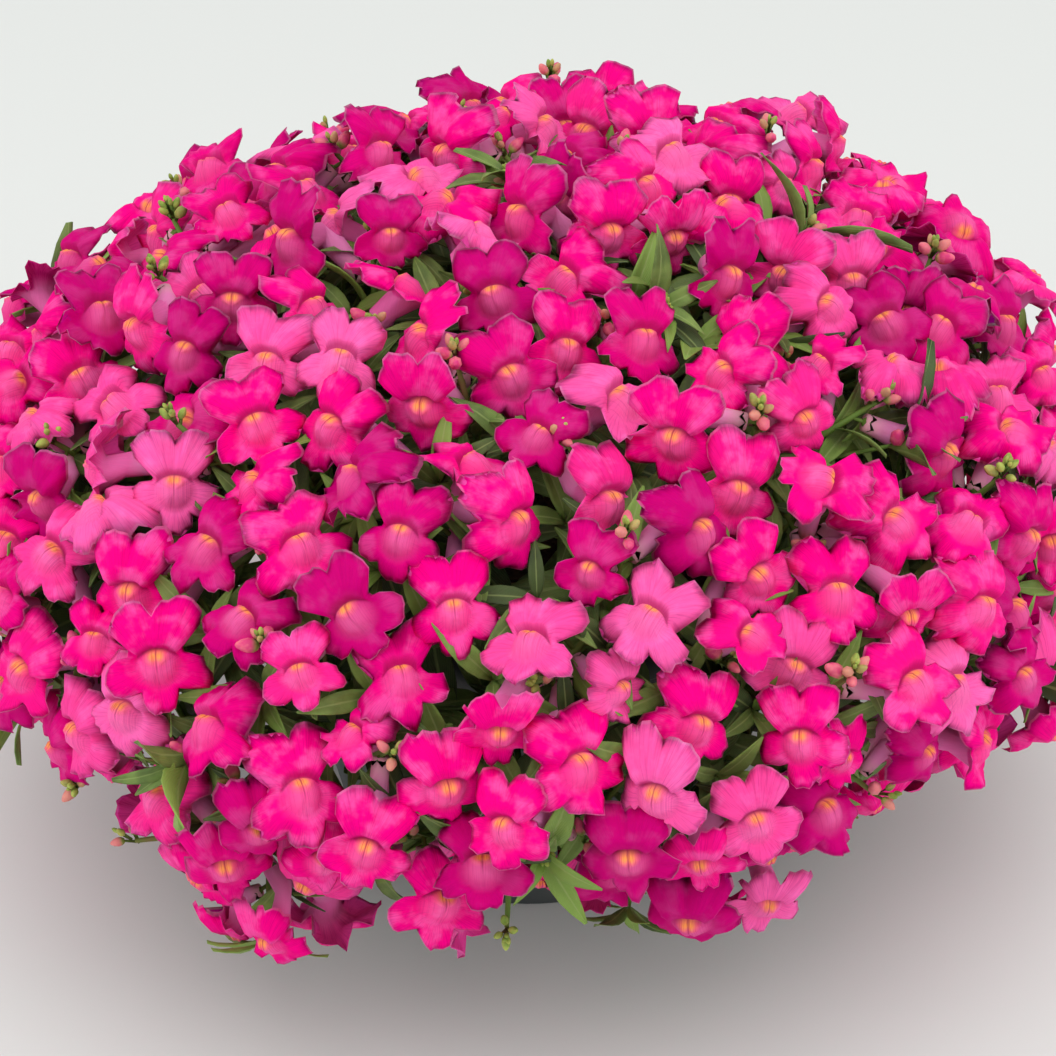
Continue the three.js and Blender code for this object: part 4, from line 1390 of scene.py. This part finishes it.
# %% [markdown]
# A leaf starts as a small grid, which is drawn in to a lance shape, folded a little along its rib, arched and
# given its thickness. Four leaves are moulded, each with a bend and a wave of its own.

# %% Moulds of a leaf
LEAF_BENDS = [(5, 0.0), (9, 1.2), (3, -1.0), (12, 0.6)]  # droop of the tip and wave, on a 40 mm leaf
LEAF_FOLD, LEAF_ARCH, LEAF_THICKNESS = 0.35, 2.2, 0.45


def mould_leaf(droop, wave):
    bm = bmesh.new()
    uv = bm.loops.layers.uv.new("Leaf")
    bm.verts.layers.float.new("tint")
    bmesh.ops.create_grid(bm, x_segments=4, y_segments=6, size=0.5)
    places = {vert: (vert.co.x + 0.5, vert.co.y + 0.5) for vert in bm.verts}
    for face in bm.faces:
        for loop in face.loops:
            loop[uv].uv = places[loop.vert]
    for vert, (across, along) in places.items():
        width = LEAF["width"] * max(0.05, math.sin(math.pi * along**0.85)) ** 0.8
        aside = (across - 0.5) * width
        height = LEAF_FOLD * abs(aside) - droop * along**2 + LEAF_ARCH * math.sin(math.pi * along)
        height += wave * math.sin(5 * along + 3 * across)
        vert.co = Vector((aside, LEAF["length"] * along, height))
    bmesh.ops.recalc_face_normals(bm, faces=bm.faces)
    bmesh.ops.solidify(bm, geom=bm.faces[:], thickness=LEAF_THICKNESS)
    return mould("leaf_mould", bm)


leaf_moulds = [mould_leaf(*bend) for bend in LEAF_BENDS]
print("a leaf has", len(leaf_moulds[0].polygons), "faces")


# %% [markdown]
# A calyx is a little five-toothed cup: every other corner of a cone's lip is pulled down. A bud is a ball
# drawn out to a blunt tip. Copies of a mould are placed by a matrix each.

# %% Moulds of a calyx and a bud
def mould_calyx():
    bm = bmesh.new()
    cup = bmesh.ops.create_cone(bm, cap_ends=True, segments=10, radius1=1.2, radius2=3.5, depth=4.5)["verts"]
    lip = [vert for vert in cup if vert.co.z > 0]
    for i, vert in enumerate(sorted(lip, key=lambda v: math.atan2(v.co.y, v.co.x))):
        if i % 2:
            bmesh.ops.translate(bm, verts=[vert], vec=(0, 0, -2.2))
    return mould("calyx_mould", bm)


def mould_bud():
    bm = bmesh.new()
    along = bm.verts.layers.float.new("along")
    bm.verts.layers.float.new("tint")
    bmesh.ops.create_uvsphere(bm, u_segments=7, v_segments=6, radius=1)
    for vert in bm.verts:
        share = (vert.co.z + 1) / 2
        vert[along] = share
        slim = 1 - 0.35 * share**2
        vert.co = Vector((vert.co.x * slim, vert.co.y * slim, share))
    return mould("bud_mould", bm)


calyx_mould, bud_mould = mould_calyx(), mould_bud()
print("faces of a calyx and a bud:", len(calyx_mould.polygons), len(bud_mould.polygons))


def add_copy(bm, mesh, place, tint=None):
    """Adds a placed copy of a mould."""
    before = len(bm.verts)
    bm.from_mesh(mesh)
    bm.verts.ensure_lookup_table()
    fresh = bm.verts[before:]
    bmesh.ops.transform(bm, matrix=place, verts=fresh)
    if tint is not None:
        tinted = bm.verts.layers.float["tint"]
        for vert in fresh:
            vert[tinted] = tint


# %% [markdown]
# The blooms of a spray are joined to one piece, which stands in for the spray's solid. Instances would take
# less room, but every piece has to carry its own mesh, and each flower's tube bends to its own root.

# %% Blooms of every spray
for number, spray in enumerate(sprays):
    draw = stream(SEEDS["detail"] + 30000 + number)
    petals = bmesh.new()
    spray["pedicels"] = [add_flower(petals, bloom, draw) for bloom in spray["blooms"]]
    finished_piece(f"blooms_{number + 1:02d}", petals, petal, [spray["name"]])

# %% [markdown]
# At the end of each stalk the buds crowd round the growing point, the largest outermost. Each sits on a short
# sprig of its own.

# %% Leaves and bunches of buds
BUD_LENGTH = (9.0, 3.0)  # the largest and the smallest


def add_leaf(bm, leaf, draw):
    side = leaf["along"].cross(leaf["upper"])
    turn = Matrix((side, leaf["along"], leaf["upper"])).transposed().to_4x4()
    scale = Matrix.Scale(leaf["length"] / LEAF["length"], 4)
    mesh = leaf_moulds[int(len(leaf_moulds) * draw())]
    add_copy(bm, mesh, Matrix.Translation(leaf["base"]) @ turn @ scale, draw() * leaf.get("youth", 1))


def bud_bunch(buds, sprigs, tip, facing, draw):
    sides = sides_of(facing)
    ripe = draw()
    count = 4 + int(5 * draw())
    for n in range(count):
        share = n / (count - 1)
        tilt = 1.15 - share
        lean = turned(sides, n * GOLDEN_ANGLE + draw())
        direction = (facing * math.cos(tilt) + lean * math.sin(tilt)).normalized()
        length = BUD_LENGTH[0] * (0.6 + 0.4 * ripe) * (1 - share) + BUD_LENGTH[1] * share
        length *= 0.8 + 0.4 * draw()
        base = tip + facing * (5 * share) + direction * 2
        shape = Matrix.Diagonal((0.33 * length, 0.33 * length, length, 1))
        add_copy(buds, bud_mould, ring_frame(base, direction, 1) @ shape, ripe * (1 - share) + 0.1)
        tube(sprigs, [tip + facing * (5 * share - 2), base + direction], [0.6, 0.8], 5)


print("buds are", BUD_LENGTH[1], "to", BUD_LENGTH[0], "mm long")


# %% [markdown]
# The green parts are joined by stem: one piece for its shoots, stalks and calyxes, one for its leaves and one
# for its buds.

# %% Stems, leaves and buds
STALK_RADIUS = 1.5
PEDICEL_RADIUS = 0.8

for g, stem_parts in enumerate(stems):
    draw = stream(SEEDS["detail"] + 40000 + g)
    sprigs, leaves, buds = bmesh.new(), bmesh.new(), bmesh.new()
    foot = stem_parts["hole"] - UP * (SOIL["hole_depth"] - 1)
    tube(sprigs, [foot, stem_parts["hole"] + UP * STEM["collar"]], [STEM["radius"], STEM["radius"] * 0.9], 8)
    for shoot in stem_parts["shoots"]:
        radii = [shoot["radius"]] * len(shoot["smooth"])
        tube(sprigs, shoot["smooth"], radii)
    for twig_path in stem_parts["twigs"]:
        tube(sprigs, twig_path, [TWIG["radius"], TWIG["radius"] * 0.8, TWIG["radius"] * 0.5])
        bud_bunch(buds, sprigs, twig_path[-1], (twig_path[-1] - twig_path[0]).normalized(), draw)
    for twig_path, radii in stem_parts["side_twigs"]:
        tube(sprigs, twig_path, radii, 5)
    for spray in stem_parts["sprays"]:
        for start, tip in spray["stalks"]:
            hangs = tip.z < LOW_TIP
            end = start.lerp(tip, LOW_END) if hangs else tip
            stalk = [spray["foot"] - spray["axis"] * 2, spray["fork"], start.lerp(tip, 0.5), end]
            tube(sprigs, stalk, [STALK_RADIUS, STALK_RADIUS, STALK_RADIUS * 0.9, STALK_RADIUS * 0.6])
            if not hangs:
                bud_bunch(buds, sprigs, tip, (tip - start).normalized().lerp(UP, 0.45).normalized(), draw)
        for bloom, pedicel in zip(spray["blooms"], spray["pedicels"]):
            tube(sprigs, pedicel, [PEDICEL_RADIUS] * 3, 5)
            outward = (pedicel[0] - pedicel[2]).normalized()
            add_copy(sprigs, calyx_mould, ring_frame(pedicel[0], outward, bloom["size"]))
    for grown in stem_parts["leaves"] + stem_parts["more_leaves"]:
        add_leaf(leaves, grown, draw)
    finished_piece(f"green_stems_{g + 1}", sprigs, stem, [f"leafy_stem_{g + 1:02d}"])
    finished_piece(f"leaves_{g + 1}", leaves, leaf)
    finished_piece(f"buds_{g + 1}", buds, bud)

# %% [markdown]
# ## Pot and soil
# The pot is a thin shell of revolution, so its section is drawn once and spun round the axis. The soil is
# spun as well, and its top is broken up into crumbs.

# %% Pot
POT = {"base": 72, "flare": 28, "band": 121, "wall": 2.4, "rim": 103, "height": 135}


def wall_at(z):
    return POT["base"] + POT["flare"] * min(z, POT["band"]) / POT["band"]


def spun(section, steps):
    bm = bmesh.new()
    verts = [bm.verts.new((r, 0, z)) for r, z in section]
    edges = [bm.edges.new(pair) for pair in zip(verts, verts[1:])]
    bmesh.ops.spin(
        bm,
        geom=verts + edges,
        axis=(0, 0, 1),
        cent=(0, 0, 0),
        angle=2 * math.pi,
        steps=steps,
        use_merge=True,
        use_duplicate=False,
    )
    bmesh.ops.remove_doubles(bm, verts=bm.verts, dist=0.01)
    return bm


inner_rim = wall_at(POT["band"]) - POT["wall"]
rim, top, wall = POT["rim"], POT["height"], POT["wall"]
pot_section = [(0, 1.6), (60, 1.6), (62, 0), (71, 0), (POT["base"], 0.8), (wall_at(40), 40)]
pot_section += [(wall_at(80), 80), (wall_at(119), 119), (99.9, 120.6), (102.2, 121.6), (rim, 122.6)]
pot_section += [(rim, 132.6), (102.6, 134), (101.4, top), (98.8, top), (inner_rim + 0.2, 134.2)]
pot_section += [(inner_rim, 132), (inner_rim, POT["band"]), (wall_at(60) - wall, 60)]
pot_section += [(wall_at(wall) - wall, wall), (0, wall)]
finished_piece("moulded_pot", spun(pot_section, 96), plastic, ["pot"])

# %% [markdown]
# The soil is heaped a little in the middle. Its lumps are noise added to the height, and small flattened
# balls of random size lie on it as crumbs.

# %% Soil
CRUMBS = 260
SOIL_RINGS = 32
LEVEL_SHARE = 0.6  # of the soil's radius; beyond it the soil falls towards the pot
peak = SOIL["top"] + SOIL["crown"]
soil_edge = inner_rim - 2 * GAP
level = LEVEL_SHARE * inner_rim
soil_section = [(0, peak)]
for n in range(1, SOIL_RINGS + 1):
    r = soil_edge * n / SOIL_RINGS
    soil_section.append((r, peak - SOIL["crown"] * max(0, r - level) / (soil_edge - level)))
soil_section += [(wall_at(60) - 3.2, 60), (wall_at(3) - 3.2, 3), (0, 3)]
soil = spun(soil_section, 72)
for vert in soil.verts:
    if vert.co.z > SOIL["top"] - 4 and vert.co.xy.length < soil_edge - 1:
        vert.co.z += 2.2 * noise.noise(vert.co * 0.16) + 1.4 * noise.noise(vert.co * 0.45)
for n in range(CRUMBS):
    draw = stream(SEEDS["detail"] + 50000 + n)
    r = (soil_edge - 4) * math.sqrt(draw())
    fall = SOIL["crown"] * max(0, r / soil_edge - LEVEL_SHARE) / (1 - LEVEL_SHARE)
    spot = outwards(n * GOLDEN_ANGLE) * r + UP * (peak - 0.4 - fall)
    crumb = Matrix.Translation(spot) @ Matrix.Diagonal((1 + 2 * draw(), 1 + 2 * draw(), 0.8 + draw(), 1))
    bmesh.ops.create_icosphere(soil, subdivisions=1, radius=1, matrix=crumb)
finished_piece("crumbly_soil", soil, peat, ["soil"])

# %% [markdown]
# The last cell brings the scene up to date.

# %% Finish
bpy.context.view_layer.update()
